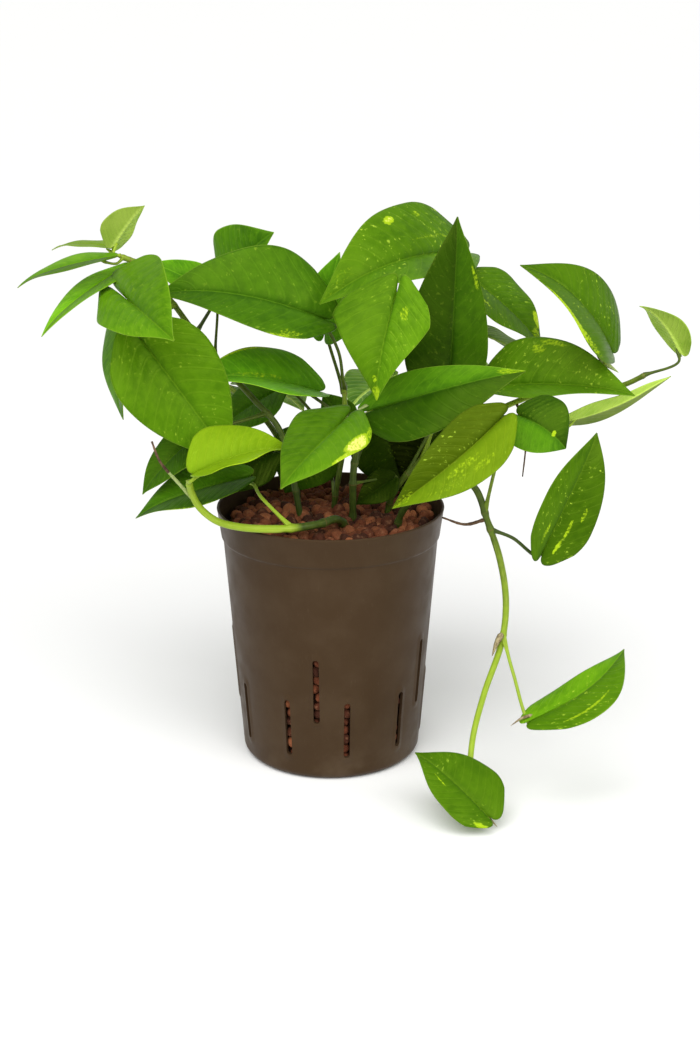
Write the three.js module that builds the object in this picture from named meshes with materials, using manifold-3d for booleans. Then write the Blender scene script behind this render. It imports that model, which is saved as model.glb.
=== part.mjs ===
// A pothos plant growing in a slotted hydroculture pot filled with clay granules.
// Millimetres, +Z up. The origin is the centre of the pot's flat base and the plant's front faces -Y.

import * as THREE from 'three';
import { mergeVertices } from 'three/addons/utils/BufferGeometryUtils.js';
import Module from 'manifold-3d';

const manifold = await Module();
manifold.setup();

// ---------------------------------------------------------------- driving dimensions

const GAP = 0.3; // left between pieces that touch
const WELD_DISTANCE = 1e-4; // corners closer than this become one

const POT_HEIGHT = 188;
const RIM_RADIUS = 82;
const STEP_HEIGHT = 166; // where the wall steps out under the rim band
const STEP_OUT = 1.2;
const BODY_TOP_RADIUS = 77.8;
const BASE_RADIUS = 65;
const BASE_FILLET = 6;
const WALL = 1.8;
const FLOOR = 2.4;
const RIM_ROUNDING = 1; // how far the rim's edge slopes down to each side
const POT_SEGMENTS = 48;

const SLOT_WIDTH = 4.5;
const LOWER_SLOTS = { first: -26, step: 36, count: 10, from: 18, to: 62 }; // degrees from the front
const UPPER_SLOTS = { first: -8, step: 72, count: 5, from: 46, to: 96 };

const FILL_HEIGHT = 178; // the level the granules fill the pot to
const FILL_INSET = WALL + GAP + 0.1; // from the pot's outer face to the filling
const GRANULE_RADIUS = 8.2;
const GRANULE_SPACING = 17;
const GRANULE_FLATNESS = 0.75; // a granule's height as a share of its width
const GRANULE_VARIETY = 0.3; // how much the radius varies, in all, as a share of it
const GRANULE_SHIFT = 4; // how far a granule's place may vary sideways, in all
const GRANULE_RISE = 2; // and in height
const FILL_SEED = 7;
const STEM_HOLE_CLEARANCE = 0.35;

const VINE_SIDES = 7;
const VINE_STEP = 16; // length of one straight piece of a vine
const OFFSHOOT_SIDES = 5; // aerial roots and stubs
const OFFSHOOT_STEP = 12;

const BLADE_THICKNESS = 0.8;
const PETIOLE_RADIUS = 1.4;
const PETIOLE_SIDES = 5;
const PETIOLE_STEP = 11;
const PETIOLE_DIP = 5; // how far under and behind the blade's base the petiole arrives
const PETIOLE_END = 0.06; // where it ends under the midrib, of the blade's length
const WIDEST_AT = 0.28; // of the blade's length, from the petiole
const NARROWING_AT_BASE = 0.4; // the share of the width lost from there back to the petiole
const FULLNESS = 1.8; // the larger, the wider most blades stay towards their tips
const TIP_TAPER = 0.3; // the further share of the width lost at the very tip
const TIP_TAPER_LATENESS = 4; // the larger, the closer to the tip that taper starts
const CLEFT = 0.45; // the smaller, the closer together the two lobes of most blades lie
const LOBE_TURN = 0.85; // from the cleft to the edge, as a share of a whole arch
const LOBE_FADE = 2.5; // the larger, the sooner the lobes' backward reach ends along the blade
const EDGE_DROOP = 0.1; // how far the edges curl down, of the distance from the midrib

// ---------------------------------------------------------------- materials

const finish = (color, roughness) =>
  new THREE.MeshStandardMaterial({ color, roughness, metalness: 0 });
const potPlastic = finish(0x4a3a2c, 0.45);
const clay = finish(0x8a4a34, 0.9);
const stemGreen = finish(0x7d9a35, 0.5);
const leafGreens = {
  deep: finish(0x2f5d12, 0.35),
  mid: finish(0x4f8a1a, 0.35),
  lime: finish(0x86bb2a, 0.35),
};

// ---------------------------------------------------------------- solids

const vector = ([x, y, z]) => new THREE.Vector3(x, y, z);

/** A closed geometry as a solid, with its faces pointing out. */
function solidOf(geometry) {
  geometry.deleteAttribute('normal');
  geometry.deleteAttribute('uv');
  const merged = mergeVertices(geometry, WELD_DISTANCE);
  const corners = merged.index.array;
  const kept = [];
  for (let i = 0; i < corners.length; i += 3) {
    const [a, b, c] = corners.slice(i, i + 3);
    if (a !== b && b !== c && c !== a) kept.push(a, b, c);
  }
  const vertProperties = Float32Array.from(merged.attributes.position.array);
  const make = (order) =>
    new manifold.Manifold(
      new manifold.Mesh({ numProp: 3, vertProperties, triVerts: Uint32Array.from(order) }),
    );
  const made = make(kept);
  if (made.volume() > 0) return made;
  return make(kept.reverse());
}

function geometryOf(solid) {
  const mesh = solid.getMesh();
  const geometry = new THREE.BufferGeometry();
  geometry.setAttribute('position', new THREE.BufferAttribute(mesh.vertProperties, 3));
  geometry.setIndex(new THREE.BufferAttribute(mesh.triVerts, 1));
  geometry.computeVertexNormals();
  return geometry;
}

const fuse = (solids) => solids.reduce((sum, next) => sum.add(next));

/** The biggest of the bodies that a cut leaves. */
function biggestBody(solid) {
  const bodies = solid.decompose();
  return bodies.reduce((best, next) => (next.volume() > best.volume() ? next : best));
}

const smoothCurve = (points) => new THREE.CatmullRomCurve3(points, false, 'centripetal');

/** A round bar of even thickness along a curve. */
function bar(curve, radius, sides, stepLength) {
  const corners = Array.from({ length: sides }, (_, i) => {
    const angle = (i / sides) * 2 * Math.PI;
    return new THREE.Vector2(radius * Math.cos(angle), radius * Math.sin(angle));
  });
  const steps = Math.max(2, Math.round(curve.getLength() / stepLength));
  return solidOf(
    new THREE.ExtrudeGeometry(new THREE.Shape(corners), {
      steps,
      extrudePath: curve,
      bevelEnabled: false,
    }),
  );
}

function ball(centre, radius) {
  const geometry = new THREE.IcosahedronGeometry(radius, 1);
  geometry.translate(centre.x, centre.y, centre.z);
  return solidOf(geometry);
}

/** A profile of (radius, height) corners turned about the Z axis. */
function turned(profile) {
  const points = profile.map(([radius, height]) => new THREE.Vector2(radius, height));
  const geometry = new THREE.LatheGeometry(points, POT_SEGMENTS);
  geometry.rotateX(Math.PI / 2);
  return solidOf(geometry);
}

/** The same draws on every run, each from 0 to 1. */
function seededDraws(seed) {
  let state = seed;
  return () => {
    state = (state * 1664525 + 1013904223) % 4294967296;
    return state / 4294967296;
  };
}

// ---------------------------------------------------------------- pot

/** The wall's outer radius at a height, below the step under the rim. */
function bodyRadius(height) {
  return BASE_RADIUS + ((BODY_TOP_RADIUS - BASE_RADIUS) * height) / STEP_HEIGHT;
}

function potSolid() {
  const fillet = [];
  for (let degrees = -90; degrees <= 0; degrees += 30) {
    const angle = THREE.MathUtils.degToRad(degrees);
    fillet.push([
      bodyRadius(BASE_FILLET) - BASE_FILLET + BASE_FILLET * Math.cos(angle),
      BASE_FILLET + BASE_FILLET * Math.sin(angle),
    ]);
  }
  const stepRadius = BODY_TOP_RADIUS + STEP_OUT;
  const shell = turned([
    [0, 0],
    ...fillet,
    [BODY_TOP_RADIUS, STEP_HEIGHT],
    [stepRadius, STEP_HEIGHT + STEP_OUT],
    [RIM_RADIUS, POT_HEIGHT - RIM_ROUNDING],
    [RIM_RADIUS - WALL / 2, POT_HEIGHT],
    [RIM_RADIUS - WALL, POT_HEIGHT - RIM_ROUNDING],
    [stepRadius - WALL, STEP_HEIGHT + STEP_OUT],
    [BODY_TOP_RADIUS - WALL, STEP_HEIGHT],
    [bodyRadius(BASE_FILLET) - WALL, BASE_FILLET + FLOOR],
    [bodyRadius(BASE_FILLET) - WALL - BASE_FILLET, FLOOR],
    [0, FLOOR],
  ]);
  const slots = [LOWER_SLOTS, UPPER_SLOTS].flatMap((row) =>
    Array.from({ length: row.count }, (_, i) => slotCutter(row, row.first + i * row.step)),
  );
  return shell.subtract(fuse(slots));
}

/** A narrow upright block through the wall, at an angle counted from the front towards +X. */
function slotCutter(row, degrees) {
  const depth = 8 * WALL; // through the wall and well past it on both sides
  const block = new THREE.BoxGeometry(SLOT_WIDTH, depth, row.to - row.from);
  const middle = (row.from + row.to) / 2;
  block.translate(0, -bodyRadius(middle), middle);
  block.rotateZ(THREE.MathUtils.degToRad(degrees));
  return solidOf(block);
}

// ---------------------------------------------------------------- clay granules

/** The heap of granules: one filling body with the top granules standing out of it. */
function granulesSolid(stemHoles) {
  const heap = turned([
    [0, FLOOR + GAP],
    [bodyRadius(BASE_FILLET) - FILL_INSET - BASE_FILLET, FLOOR + GAP],
    [bodyRadius(BASE_FILLET) - FILL_INSET, BASE_FILLET + FLOOR + GAP],
    [BODY_TOP_RADIUS - FILL_INSET, STEP_HEIGHT],
    [BODY_TOP_RADIUS - FILL_INSET, FILL_HEIGHT],
    [0, FILL_HEIGHT],
  ]);
  const draw = seededDraws(FILL_SEED);
  const reach = BODY_TOP_RADIUS - FILL_INSET - GRANULE_RADIUS - 1;
  const rowHeight = GRANULE_SPACING * Math.sin(Math.PI / 3);
  const rows = Math.floor(reach / rowHeight);
  const granules = [];
  for (let row = -rows; row <= rows; row++) {
    for (let column = -rows - 1; column <= rows + 1; column++) {
      const x = (column + (row & 1) / 2) * GRANULE_SPACING + GRANULE_SHIFT * (draw() - 0.5);
      const y = row * rowHeight + GRANULE_SHIFT * (draw() - 0.5);
      const radius = GRANULE_RADIUS * (1 + GRANULE_VARIETY * (draw() - 0.5));
      const stone = new THREE.IcosahedronGeometry(radius, 0);
      stone.rotateX(2 * Math.PI * draw());
      stone.rotateZ(2 * Math.PI * draw());
      stone.scale(1, 1, GRANULE_FLATNESS);
      stone.translate(x, y, FILL_HEIGHT + GRANULE_RISE * (draw() - 0.5));
      if (Math.hypot(x, y) < reach) granules.push(solidOf(stone));
    }
  }
  return biggestBody(fuse([heap, ...granules]).subtract(fuse(stemHoles)));
}

// ---------------------------------------------------------------- vines

// Each vine starts in the granules. Its route is a list of points along its middle.
const ROOTED = 146; // height of the lower end of each vine

const vines = {
  left: {
    radius: 2.3,
    route: [
      [-18, -8, ROOTED], [-22, -8, 183], [-36, 0, 243], [-54, 5, 264], [-77, 8, 289],
      [-91, 5, 307], [-109, -5, 336], [-126, -12, 361], [-143, -19, 371],
    ],
  },
  front: {
    radius: 3,
    route: [
      [14, -22, ROOTED], [12, -27, 176], [5, -42, 190], [-7, -58, 192], [-23, -68, 192.5],
      [-41, -72, 193], [-61, -68, 193], [-78, -60, 195], [-89, -59, 204], [-94, -63, 216],
      [-95, -70, 226],
    ],
    offshoots: [
      { radius: 1.3, route: [[-90, -59, 206], [-103, -60, 222], [-115, -62, 238], [-120, -62, 252]] },
    ],
  },
  centre: {
    radius: 2.6,
    route: [
      [16, -6, ROOTED], [16, -14, 186], [17, -18, 223], [24, -12, 250], [37, -6, 269],
      [43, 2, 305], [52, 8, 334],
    ],
  },
  middle: {
    radius: 2.2,
    route: [[0, 12, ROOTED], [3, 12, 188], [10, 13, 233], [10, 14, 273]],
  },
  right: {
    radius: 2.3,
    route: [
      [40, 4, ROOTED], [45, 2, 195], [78, 0, 232], [105, 0, 250], [130, 4, 262],
      [160, 4, 272], [189, 0, 273], [206, -4, 277], [222, -8, 286],
    ],
    offshoots: [
      { radius: 0.9, route: [[132, 4, 262], [138, -4, 250], [138, -14, 236], [136, -18, 214]] },
    ],
  },
  trailing: {
    radius: 2.5,
    route: [
      [44, -22, ROOTED], [50, -30, 190], [69, -46, 216], [86, -60, 228], [99, -65, 220],
      [108, -68, 197], [117, -71, 170], [121.5, -74, 141], [119, -79, 113], [107, -88, 78],
      [99, -98, 48], [97, -112, 24], [100, -126, 9],
    ],
    offshoots: [
      { radius: 1.2, route: [[106, -67, 198], [93, -59, 192], [78, -50, 194]] },
    ],
  },
  rearLeft: {
    radius: 2.3,
    route: [[-22, 28, ROOTED], [-28, 36, 200], [-46, 56, 232], [-72, 76, 252], [-98, 88, 262]],
  },
  rearRight: {
    radius: 2.3,
    route: [[24, 30, ROOTED], [32, 40, 200], [50, 60, 240], [72, 78, 268], [92, 92, 284]],
  },
};

for (const vine of Object.values(vines)) {
  vine.curve = smoothCurve(vine.route.map(vector));
}

/** A vine's bar with a rounded tip, made thicker by a clearance where it cuts its neighbours. */
function vineBar(vine, clearance = 0) {
  const radius = vine.radius + clearance;
  const stalk = bar(vine.curve, radius, VINE_SIDES, VINE_STEP);
  return stalk.add(ball(vine.curve.getPoint(1), radius));
}

function vineSolid(vine) {
  const offshoots = (vine.offshoots ?? []).map(({ radius, route }) =>
    bar(smoothCurve(route.map(vector)), radius, OFFSHOOT_SIDES, OFFSHOOT_STEP),
  );
  return fuse([vineBar(vine), ...offshoots]);
}

// ---------------------------------------------------------------- leaves

const STATIONS = [0, 0.12, 0.28, 0.46, 0.64, 0.82]; // along a blade, from 0 to 1 at the tip
const COLUMNS = [-1, -0.5, 0, 0.5, 1]; // across it, from edge to edge

// base: where the petiole meets the blade; tip: the blade's point; faces: the way the upper side
// looks; at: the place of the petiole's foot along its vine, from 0 to 1; via: points that the
// petiole passes; fold: degrees that each half is raised from flat; arch and bend: how far the
// middle of the midrib lies up and sideways, of the length; lean: how much narrower one half is;
// lobes: how far the two lobes reach back past the petiole, of the length; cleft: the smaller, the
// closer together they lie; fullness: the larger, the wider the blade stays towards its tip.
const leaves = {
  left_1: {
    vine: 'left', at: 0.995, green: 'lime',
    base: [-146, -14, 377], tip: [-126, -6, 403], width: 32, faces: [-0.6, 0.76, 0.2],
    fold: 34,
  },
  left_2: {
    vine: 'left', at: 0.985, green: 'mid',
    base: [-150, -28, 370], tip: [-210, -38, 354], width: 26, faces: [-0.2, -0.2, 0.95],
  },
  left_3: {
    vine: 'left', at: 0.955, green: 'mid',
    base: [-143, -15, 359], tip: [-194, -50, 323], width: 30, faces: [-0.5, -0.4, 0.75],
  },
  left_4: {
    vine: 'left', at: 0.97, green: 'lime',
    base: [-152, 5, 372], tip: [-197, 31, 368], width: 20, faces: [0, -0.1, 1],
  },
  left_5: {
    vine: 'left', at: 0.895, green: 'mid',
    base: [-135, -46, 346], tip: [-100, -98, 330], width: 65, faces: [-0.5, -0.55, 0.68],
    fold: 24, arch: 0.08, lean: -0.16, lobes: 0.42,
  },
  left_6: {
    vine: 'left', at: 0.86, green: 'deep',
    base: [-142, 0, 328], tip: [-148, -10, 253], width: 44, faces: [-0.82, -0.55, 0.1],
  },
  left_7: {
    vine: 'left', at: 0.8, green: 'mid',
    base: [-128, -37, 317], tip: [-66, -48, 232], width: 75, faces: [0.05, -0.88, 0.4],
    fold: 12,
  },
  left_8: {
    vine: 'left', at: 0.7, green: 'deep',
    base: [-73, 38, 348], tip: [-40, 18, 381], width: 46, faces: [-0.3, -0.85, 0.4],
    lean: -0.25, lobes: 0.12,
  },
  left_9: {
    vine: 'left', at: 0.62, green: 'deep',
    base: [-82, 14, 339], tip: [-124, 0, 363], width: 30, faces: [-0.1, -0.75, 0.65],
  },
  front_1: {
    vine: 'front', at: 0.995, green: 'lime',
    base: [-88, -84, 236], tip: [-25, -62, 248], width: 58, faces: [0.1, -0.3, 0.95],
    fold: 32, arch: 0.08, lobes: 0.08,
  },
  front_2: {
    vine: 'front', at: 0.5, green: 'deep', via: [[-46, -60, 211]],
    base: [-62, -32, 216], tip: [-137, -40, 192], width: 48, faces: [-0.2, -0.4, 0.9],
    fold: 17,
  },
  front_3: {
    vine: 'left', at: 0.42, green: 'deep',
    base: [-92, -20, 246], tip: [-132, -36, 207], width: 36, faces: [-0.5, -0.7, 0.5],
  },
  centre_1: {
    vine: 'centre', at: 0.6, green: 'mid',
    base: [9, -46, 262], tip: [-32, -104, 233], width: 58, faces: [0, -0.35, 0.94],
    fold: 9, arch: 0.07, bend: 0.04, lobes: 0.2,
  },
  centre_2: {
    vine: 'centre', at: 0.52, green: 'deep',
    base: [33, -32, 267], tip: [131, -60, 301], width: 50, faces: [-0.35, -0.83, 0.4],
    fold: 15, arch: 0.06, lean: 0.27,
  },
  centre_3: {
    vine: 'centre', at: 0.85, green: 'mid',
    base: [44, -44, 343], tip: [31, -68, 282], width: 70, faces: [-0.25, -0.75, 0.5],
    fold: 9, arch: 0.1, lean: 0.15, lobes: 0.3, cleft: 0.3, fullness: 1,
  },
  centre_4: {
    vine: 'centre', at: 0.99, green: 'mid',
    base: [90, 51, 358], tip: [-6, -30, 342], width: 73, faces: [-0.1, -0.8, 0.6],
    fold: 26, arch: 0.14, lean: 0.15, fullness: 2.3,
  },
  middle_1: {
    vine: 'middle', at: 0.98, green: 'deep', via: [[9, 6, 278], [6, 0, 300]],
    base: [-9, -12, 326], tip: [-118, -20, 346], width: 70, faces: [0.05, -0.75, 0.66],
    fold: 20, arch: 0.08, bend: -0.03, lean: 0.15,
  },
  middle_2: {
    vine: 'middle', at: 0.8, green: 'deep',
    base: [-14, 14, 268], tip: [-96, -28, 288], width: 58, faces: [0.15, -0.45, 0.88],
    fold: 28, arch: 0.07,
  },
  middle_3: {
    vine: 'middle', at: 0.88, green: 'deep',
    base: [12, 28, 240], tip: [-6, 34, 262], width: 28, faces: [-0.4, -0.8, 0.4],
  },
  middle_4: {
    vine: 'middle', at: 0.95, green: 'deep',
    base: [-4, 28, 308], tip: [6, 10, 368], width: 40, faces: [-0.3, -0.9, 0.2],
  },
  low_1: {
    vine: 'middle', at: 0.35, green: 'deep',
    base: [-10, 30, 228], tip: [-34, 20, 190], width: 54, faces: [-0.15, -0.95, 0.3],
  },
  low_2: {
    vine: 'centre', at: 0.32, green: 'deep',
    base: [44, -4, 208], tip: [18, -14, 192], width: 24, faces: [-0.1, -0.95, 0.35],
  },
  low_3: {
    vine: 'rearRight', at: 0.32, green: 'deep',
    base: [74, 42, 242], tip: [96, 36, 198], width: 60, faces: [0.1, -0.95, 0.3],
  },
  low_4: {
    vine: 'centre', at: 0.4, green: 'deep',
    base: [38, 26, 240], tip: [54, 18, 190], width: 60, faces: [0.05, -0.95, 0.3],
  },
  low_5: {
    vine: 'middle', at: 0.62, green: 'deep',
    base: [-38, 34, 264], tip: [-84, 36, 232], width: 46, faces: [-0.3, -0.6, 0.75],
  },
  low_6: {
    vine: 'left', at: 0.2, green: 'deep',
    base: [-44, 12, 222], tip: [-98, 4, 198], width: 42, faces: [-0.1, -0.85, 0.5],
  },
  right_1: {
    vine: 'right', at: 0.42, green: 'mid',
    base: [114, 0, 275], tip: [209, -38, 280], width: 60, faces: [0.05, -0.62, 0.78],
    fold: 30, lean: -0.25, lobes: 0.07,
  },
  right_2: {
    vine: 'right', at: 0.32, green: 'mid', via: [[96, 30, 310]],
    base: [100, 38, 345], tip: [152, 15, 299], width: 56, faces: [0.45, -0.5, 0.75],
    lobes: 0.08,
  },
  right_3: {
    vine: 'right', at: 0.77, green: 'mid',
    base: [193, -20, 305], tip: [130, -32, 368], width: 64, faces: [0.62, -0.55, 0.55],
    fold: 16, arch: 0.13, lobes: 0.06,
  },
  right_4: {
    vine: 'right', at: 0.99, green: 'lime',
    base: [242, -12, 303], tip: [213, -18, 337], width: 32, faces: [0.6, 0.55, 0.5],
    fold: 18, arch: 0.1,
  },
  right_5: {
    vine: 'right', at: 0.475, green: 'lime',
    base: [168, -14, 255], tip: [236, -18, 289], width: 26, faces: [-0.2, 0.7, 0.65],
    fold: 10, arch: -0.08,
  },
  right_6: {
    vine: 'right', at: 0.507, green: 'deep',
    base: [131, -43, 264], tip: [161, -57, 246], width: 48, faces: [0.1, -0.8, 0.6],
    fold: 12, arch: 0.16, lobes: 0.16, fullness: 3,
  },
  right_7: {
    vine: 'right', at: 0.264, green: 'deep',
    base: [84, -2, 275], tip: [87, -14, 396], width: 60, faces: [0, -0.97, -0.1],
    fold: 15, arch: 0.06, lean: -0.15,
  },
  trailing_1: {
    vine: 'trailing', at: 0.4, green: 'lime',
    base: [112, -76, 270], tip: [41, -100, 217], width: 50, faces: [0.15, -0.7, 0.7],
    fold: 22, arch: 0.06, bend: 0.05, lean: -0.1,
  },
  trailing_2: {
    vine: 'trailing', at: 0.435, green: 'mid', via: [[125, -70, 186]],
    base: [146, -74, 178], tip: [183, -54, 256], width: 43, faces: [0.3, -0.85, 0.3],
    fold: 15, bend: 0.015, lean: 0.17, lobes: 0.1, fullness: 2.5,
  },
  trailing_3: {
    vine: 'trailing', at: 0.65, green: 'mid', via: [[126, -92, 96]],
    base: [140, -112, 72], tip: [204, -74, 108], width: 46, faces: [-0.25, -0.25, 0.93],
    fold: 4, bend: -0.18, lean: 0.2,
  },
  trailing_4: {
    vine: 'trailing', at: 0.995, green: 'mid',
    base: [106, -140, 12], tip: [59, -110, 45], width: 50, faces: [0.1, -0.5, 0.85],
    fold: 8, lean: 0.13,
  },
  rear_left_1: {
    vine: 'rearLeft', at: 0.62, green: 'mid',
    base: [-60, 80, 258], tip: [-22, 128, 226], width: 58, faces: [0.2, 0.6, 0.75],
  },
  rear_left_2: {
    vine: 'rearLeft', at: 0.99, green: 'mid',
    base: [-106, 84, 270], tip: [-160, 102, 244], width: 54, faces: [-0.4, 0.4, 0.8],
  },
  rear_left_3: {
    vine: 'rearLeft', at: 0.85, green: 'deep',
    base: [-92, 100, 248], tip: [-112, 150, 204], width: 56, faces: [-0.15, 0.7, 0.6],
  },
  rear_left_4: {
    vine: 'rearLeft', at: 0.4, green: 'deep',
    base: [-60, 56, 222], tip: [-116, 52, 204], width: 46, faces: [-0.3, 0.1, 0.9],
  },
  rear_right_1: {
    vine: 'rearRight', at: 0.62, green: 'deep',
    base: [48, 84, 262], tip: [14, 136, 226], width: 58, faces: [-0.1, 0.7, 0.7],
  },
  rear_right_2: {
    vine: 'rearRight', at: 0.99, green: 'mid',
    base: [102, 94, 296], tip: [156, 104, 268], width: 56, faces: [0.3, 0.3, 0.88],
  },
  rear_right_3: {
    vine: 'rearRight', at: 0.85, green: 'mid',
    base: [88, 104, 272], tip: [106, 156, 224], width: 58, faces: [0.2, 0.8, 0.55],
  },
  rear_right_4: {
    vine: 'rearRight', at: 0.4, green: 'deep',
    base: [60, 56, 218], tip: [114, 62, 206], width: 46, faces: [0.2, 0.1, 0.95],
  },
};

/** Half the blade's width at a place along it, as a share of the widest. */
function widthShare(along, fullness) {
  if (along < WIDEST_AT) {
    return 1 - NARROWING_AT_BASE * ((WIDEST_AT - along) / WIDEST_AT) ** 2;
  }
  const past = (along - WIDEST_AT) / (1 - WIDEST_AT);
  return (1 - past ** fullness) * (1 - TIP_TAPER * past ** TIP_TAPER_LATENESS);
}

/** The blade's own axes: along the midrib, up out of the upper side, and across. */
function bladeAxes({ base, tip, faces }) {
  const midrib = vector(tip).sub(vector(base));
  const length = midrib.length();
  const along = midrib.normalize();
  const up = vector(faces).projectOnPlane(along).normalize();
  const across = new THREE.Vector3().crossVectors(up, along);
  return { length, along, up, across };
}

/** A point of the blade's middle surface: s from base to tip, v from edge to edge. */
function bladePoint(leaf, axes, s, v) {
  const { width, fold = 12, arch = 0.05, bend = 0, lean = 0, lobes = 0.13 } = leaf;
  const { fullness = FULLNESS, cleft = CLEFT } = leaf;
  const tilt = THREE.MathUtils.degToRad(fold);
  const halfWidth = (width * widthShare(s, fullness) * (1 - lean * Math.sign(v))) / 2;
  const outwards = Math.abs(v) * halfWidth;
  const lobe = lobes * Math.sin(LOBE_TURN * Math.PI * Math.abs(v) ** cleft) * (1 - s) ** LOBE_FADE;
  const bow = axes.length * 4 * s * (1 - s); // as long as the blade, at half its length
  const side = Math.sign(v) * outwards * Math.cos(tilt) + bend * bow;
  const lift = outwards * (Math.sin(tilt) - EDGE_DROOP * Math.abs(v)) + arch * bow;
  return vector(leaf.base)
    .addScaledVector(axes.along, axes.length * (s - lobe))
    .addScaledVector(axes.across, side)
    .addScaledVector(axes.up, lift);
}

function bladeNormal(leaf, axes, s, v) {
  const step = 0.02;
  const ahead = bladePoint(leaf, axes, Math.min(s + step, 1), v);
  const behind = bladePoint(leaf, axes, Math.max(s - step, 0), v);
  const left = bladePoint(leaf, axes, s, Math.max(v - step, -1));
  const right = bladePoint(leaf, axes, s, Math.min(v + step, 1));
  return ahead.sub(behind).cross(right.sub(left)).normalize();
}

/** The blade: the same triangles on its upper and its lower side, joined round the edge. */
function bladeSolid(leaf) {
  const axes = bladeAxes(leaf);
  const places = STATIONS.flatMap((s) => COLUMNS.map((v) => [s, v]));
  const surface = places.map(([s, v]) => ({
    point: bladePoint(leaf, axes, s, v),
    normal: bladeNormal(leaf, axes, s, v),
  }));
  const normalNearTip = bladeNormal(leaf, axes, 0.95, 0);
  surface.push({ point: bladePoint(leaf, axes, 1, 0), normal: normalNearTip });
  const positions = [1, -1].flatMap((side) =>
    surface.flatMap(({ point, normal }) =>
      point.clone().addScaledVector(normal, (side * BLADE_THICKNESS) / 2).toArray(),
    ),
  );

  const across = COLUMNS.length;
  const tip = places.length;
  const under = surface.length; // from a corner of the upper side to the one below it
  const triangles = [];
  for (let row = 0; row + 1 < STATIONS.length; row++) {
    for (let column = 0; column + 1 < across; column++) {
      const near = row * across + column;
      const far = near + across;
      const towardsMidrib = column < across / 2 - 1;
      if (towardsMidrib) triangles.push([near, far, near + 1], [far, far + 1, near + 1]);
      else triangles.push([near, far, far + 1], [near, far + 1, near + 1]);
    }
  }
  const lastRow = tip - across;
  for (let column = 0; column + 1 < across; column++) {
    triangles.push([lastRow + column, tip, lastRow + column + 1]);
  }
  const leftEdge = STATIONS.map((_, row) => row * across);
  const rightEdge = leftEdge.map((first) => first + across - 1);
  const rear = COLUMNS.map((_, column) => column);
  const edge = [...rear, ...rightEdge.slice(1), tip, ...leftEdge.slice(1).reverse()];

  const faces = triangles.flatMap(([a, b, c]) => [a, b, c, a + under, c + under, b + under]);
  edge.forEach((from, i) => {
    const to = edge[(i + 1) % edge.length];
    faces.push(from, to, from + under, to, to + under, from + under);
  });
  const geometry = new THREE.BufferGeometry();
  geometry.setAttribute('position', new THREE.Float32BufferAttribute(positions, 3));
  geometry.setIndex(faces);
  return solidOf(geometry);
}

/** The petiole: from the vine's middle, up to the blade from below, and a little way along it. */
function petioleSolid(leaf) {
  const axes = bladeAxes(leaf);
  const foot = vines[leaf.vine].curve.getPointAt(leaf.at);
  const below = vector(leaf.base)
    .addScaledVector(axes.along, -PETIOLE_DIP)
    .addScaledVector(axes.up, -PETIOLE_DIP);
  const seatDepth = BLADE_THICKNESS / 2 + PETIOLE_RADIUS / 2;
  const seat = bladePoint(leaf, axes, PETIOLE_END, 0).addScaledVector(axes.up, -seatDepth);
  const route = [foot, ...(leaf.via ?? []).map(vector), below, seat];
  return bar(smoothCurve(route), PETIOLE_RADIUS, PETIOLE_SIDES, PETIOLE_STEP);
}

function leafSolid(leaf) {
  const whole = bladeSolid(leaf).add(petioleSolid(leaf));
  return biggestBody(whole.subtract(vineBar(vines[leaf.vine], GAP)));
}

// ---------------------------------------------------------------- the plant in its pot

const plant = new THREE.Group();

function place(name, solid, material) {
  const mesh = new THREE.Mesh(geometryOf(solid), material);
  mesh.name = name;
  plant.add(mesh);
}

const plainName = (name) => name.replace(/[A-Z]/g, (letter) => `_${letter.toLowerCase()}`);

place('pot', potSolid(), potPlastic);
const stemHoles = Object.values(vines).map((vine) => vineBar(vine, STEM_HOLE_CLEARANCE));
place('clay_granules', granulesSolid(stemHoles), clay);
for (const [name, vine] of Object.entries(vines)) {
  place(`vine_${plainName(name)}`, vineSolid(vine), stemGreen);
}
for (const [name, leaf] of Object.entries(leaves)) {
  place(`leaf_${name}`, leafSolid(leaf), leafGreens[leaf.green]);
}

export default plant;
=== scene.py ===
"""A pothos in a slotted pot of clay granules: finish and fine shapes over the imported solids.

Metres, +Z up. The origin is the centre of the pot's flat base and the plant's front faces -Y.
Places are listed in millimetres and become metres through MM.
"""

import math

import bmesh
import bpy
import numpy as np
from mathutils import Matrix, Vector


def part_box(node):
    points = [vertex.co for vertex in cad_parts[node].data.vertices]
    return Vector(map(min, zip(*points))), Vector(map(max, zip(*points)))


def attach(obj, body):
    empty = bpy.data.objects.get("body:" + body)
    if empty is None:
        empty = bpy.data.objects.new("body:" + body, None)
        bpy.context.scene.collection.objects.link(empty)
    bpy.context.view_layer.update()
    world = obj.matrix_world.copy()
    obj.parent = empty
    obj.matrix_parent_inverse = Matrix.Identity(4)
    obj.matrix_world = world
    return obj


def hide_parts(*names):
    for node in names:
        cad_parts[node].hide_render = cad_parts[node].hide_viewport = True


MM = 0.001
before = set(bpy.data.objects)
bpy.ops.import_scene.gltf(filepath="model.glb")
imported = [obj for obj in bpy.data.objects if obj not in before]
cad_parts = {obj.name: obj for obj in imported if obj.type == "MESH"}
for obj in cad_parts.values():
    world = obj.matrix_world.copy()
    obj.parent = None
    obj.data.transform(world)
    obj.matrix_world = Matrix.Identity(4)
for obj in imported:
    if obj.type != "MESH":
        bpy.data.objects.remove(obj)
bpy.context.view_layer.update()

# ---------------- camera

PHOTO_HEIGHT = 1045  # pixels, the photo's long side
FOCAL_LENGTH = 1727  # in those pixels
SENSOR = 36
CAMERA_AT = (0.014, -1.188, 0.565)
LOOKS_DOWN = 18.22  # degrees below the horizon

# ---------------- the part's own sizes, mm

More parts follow.
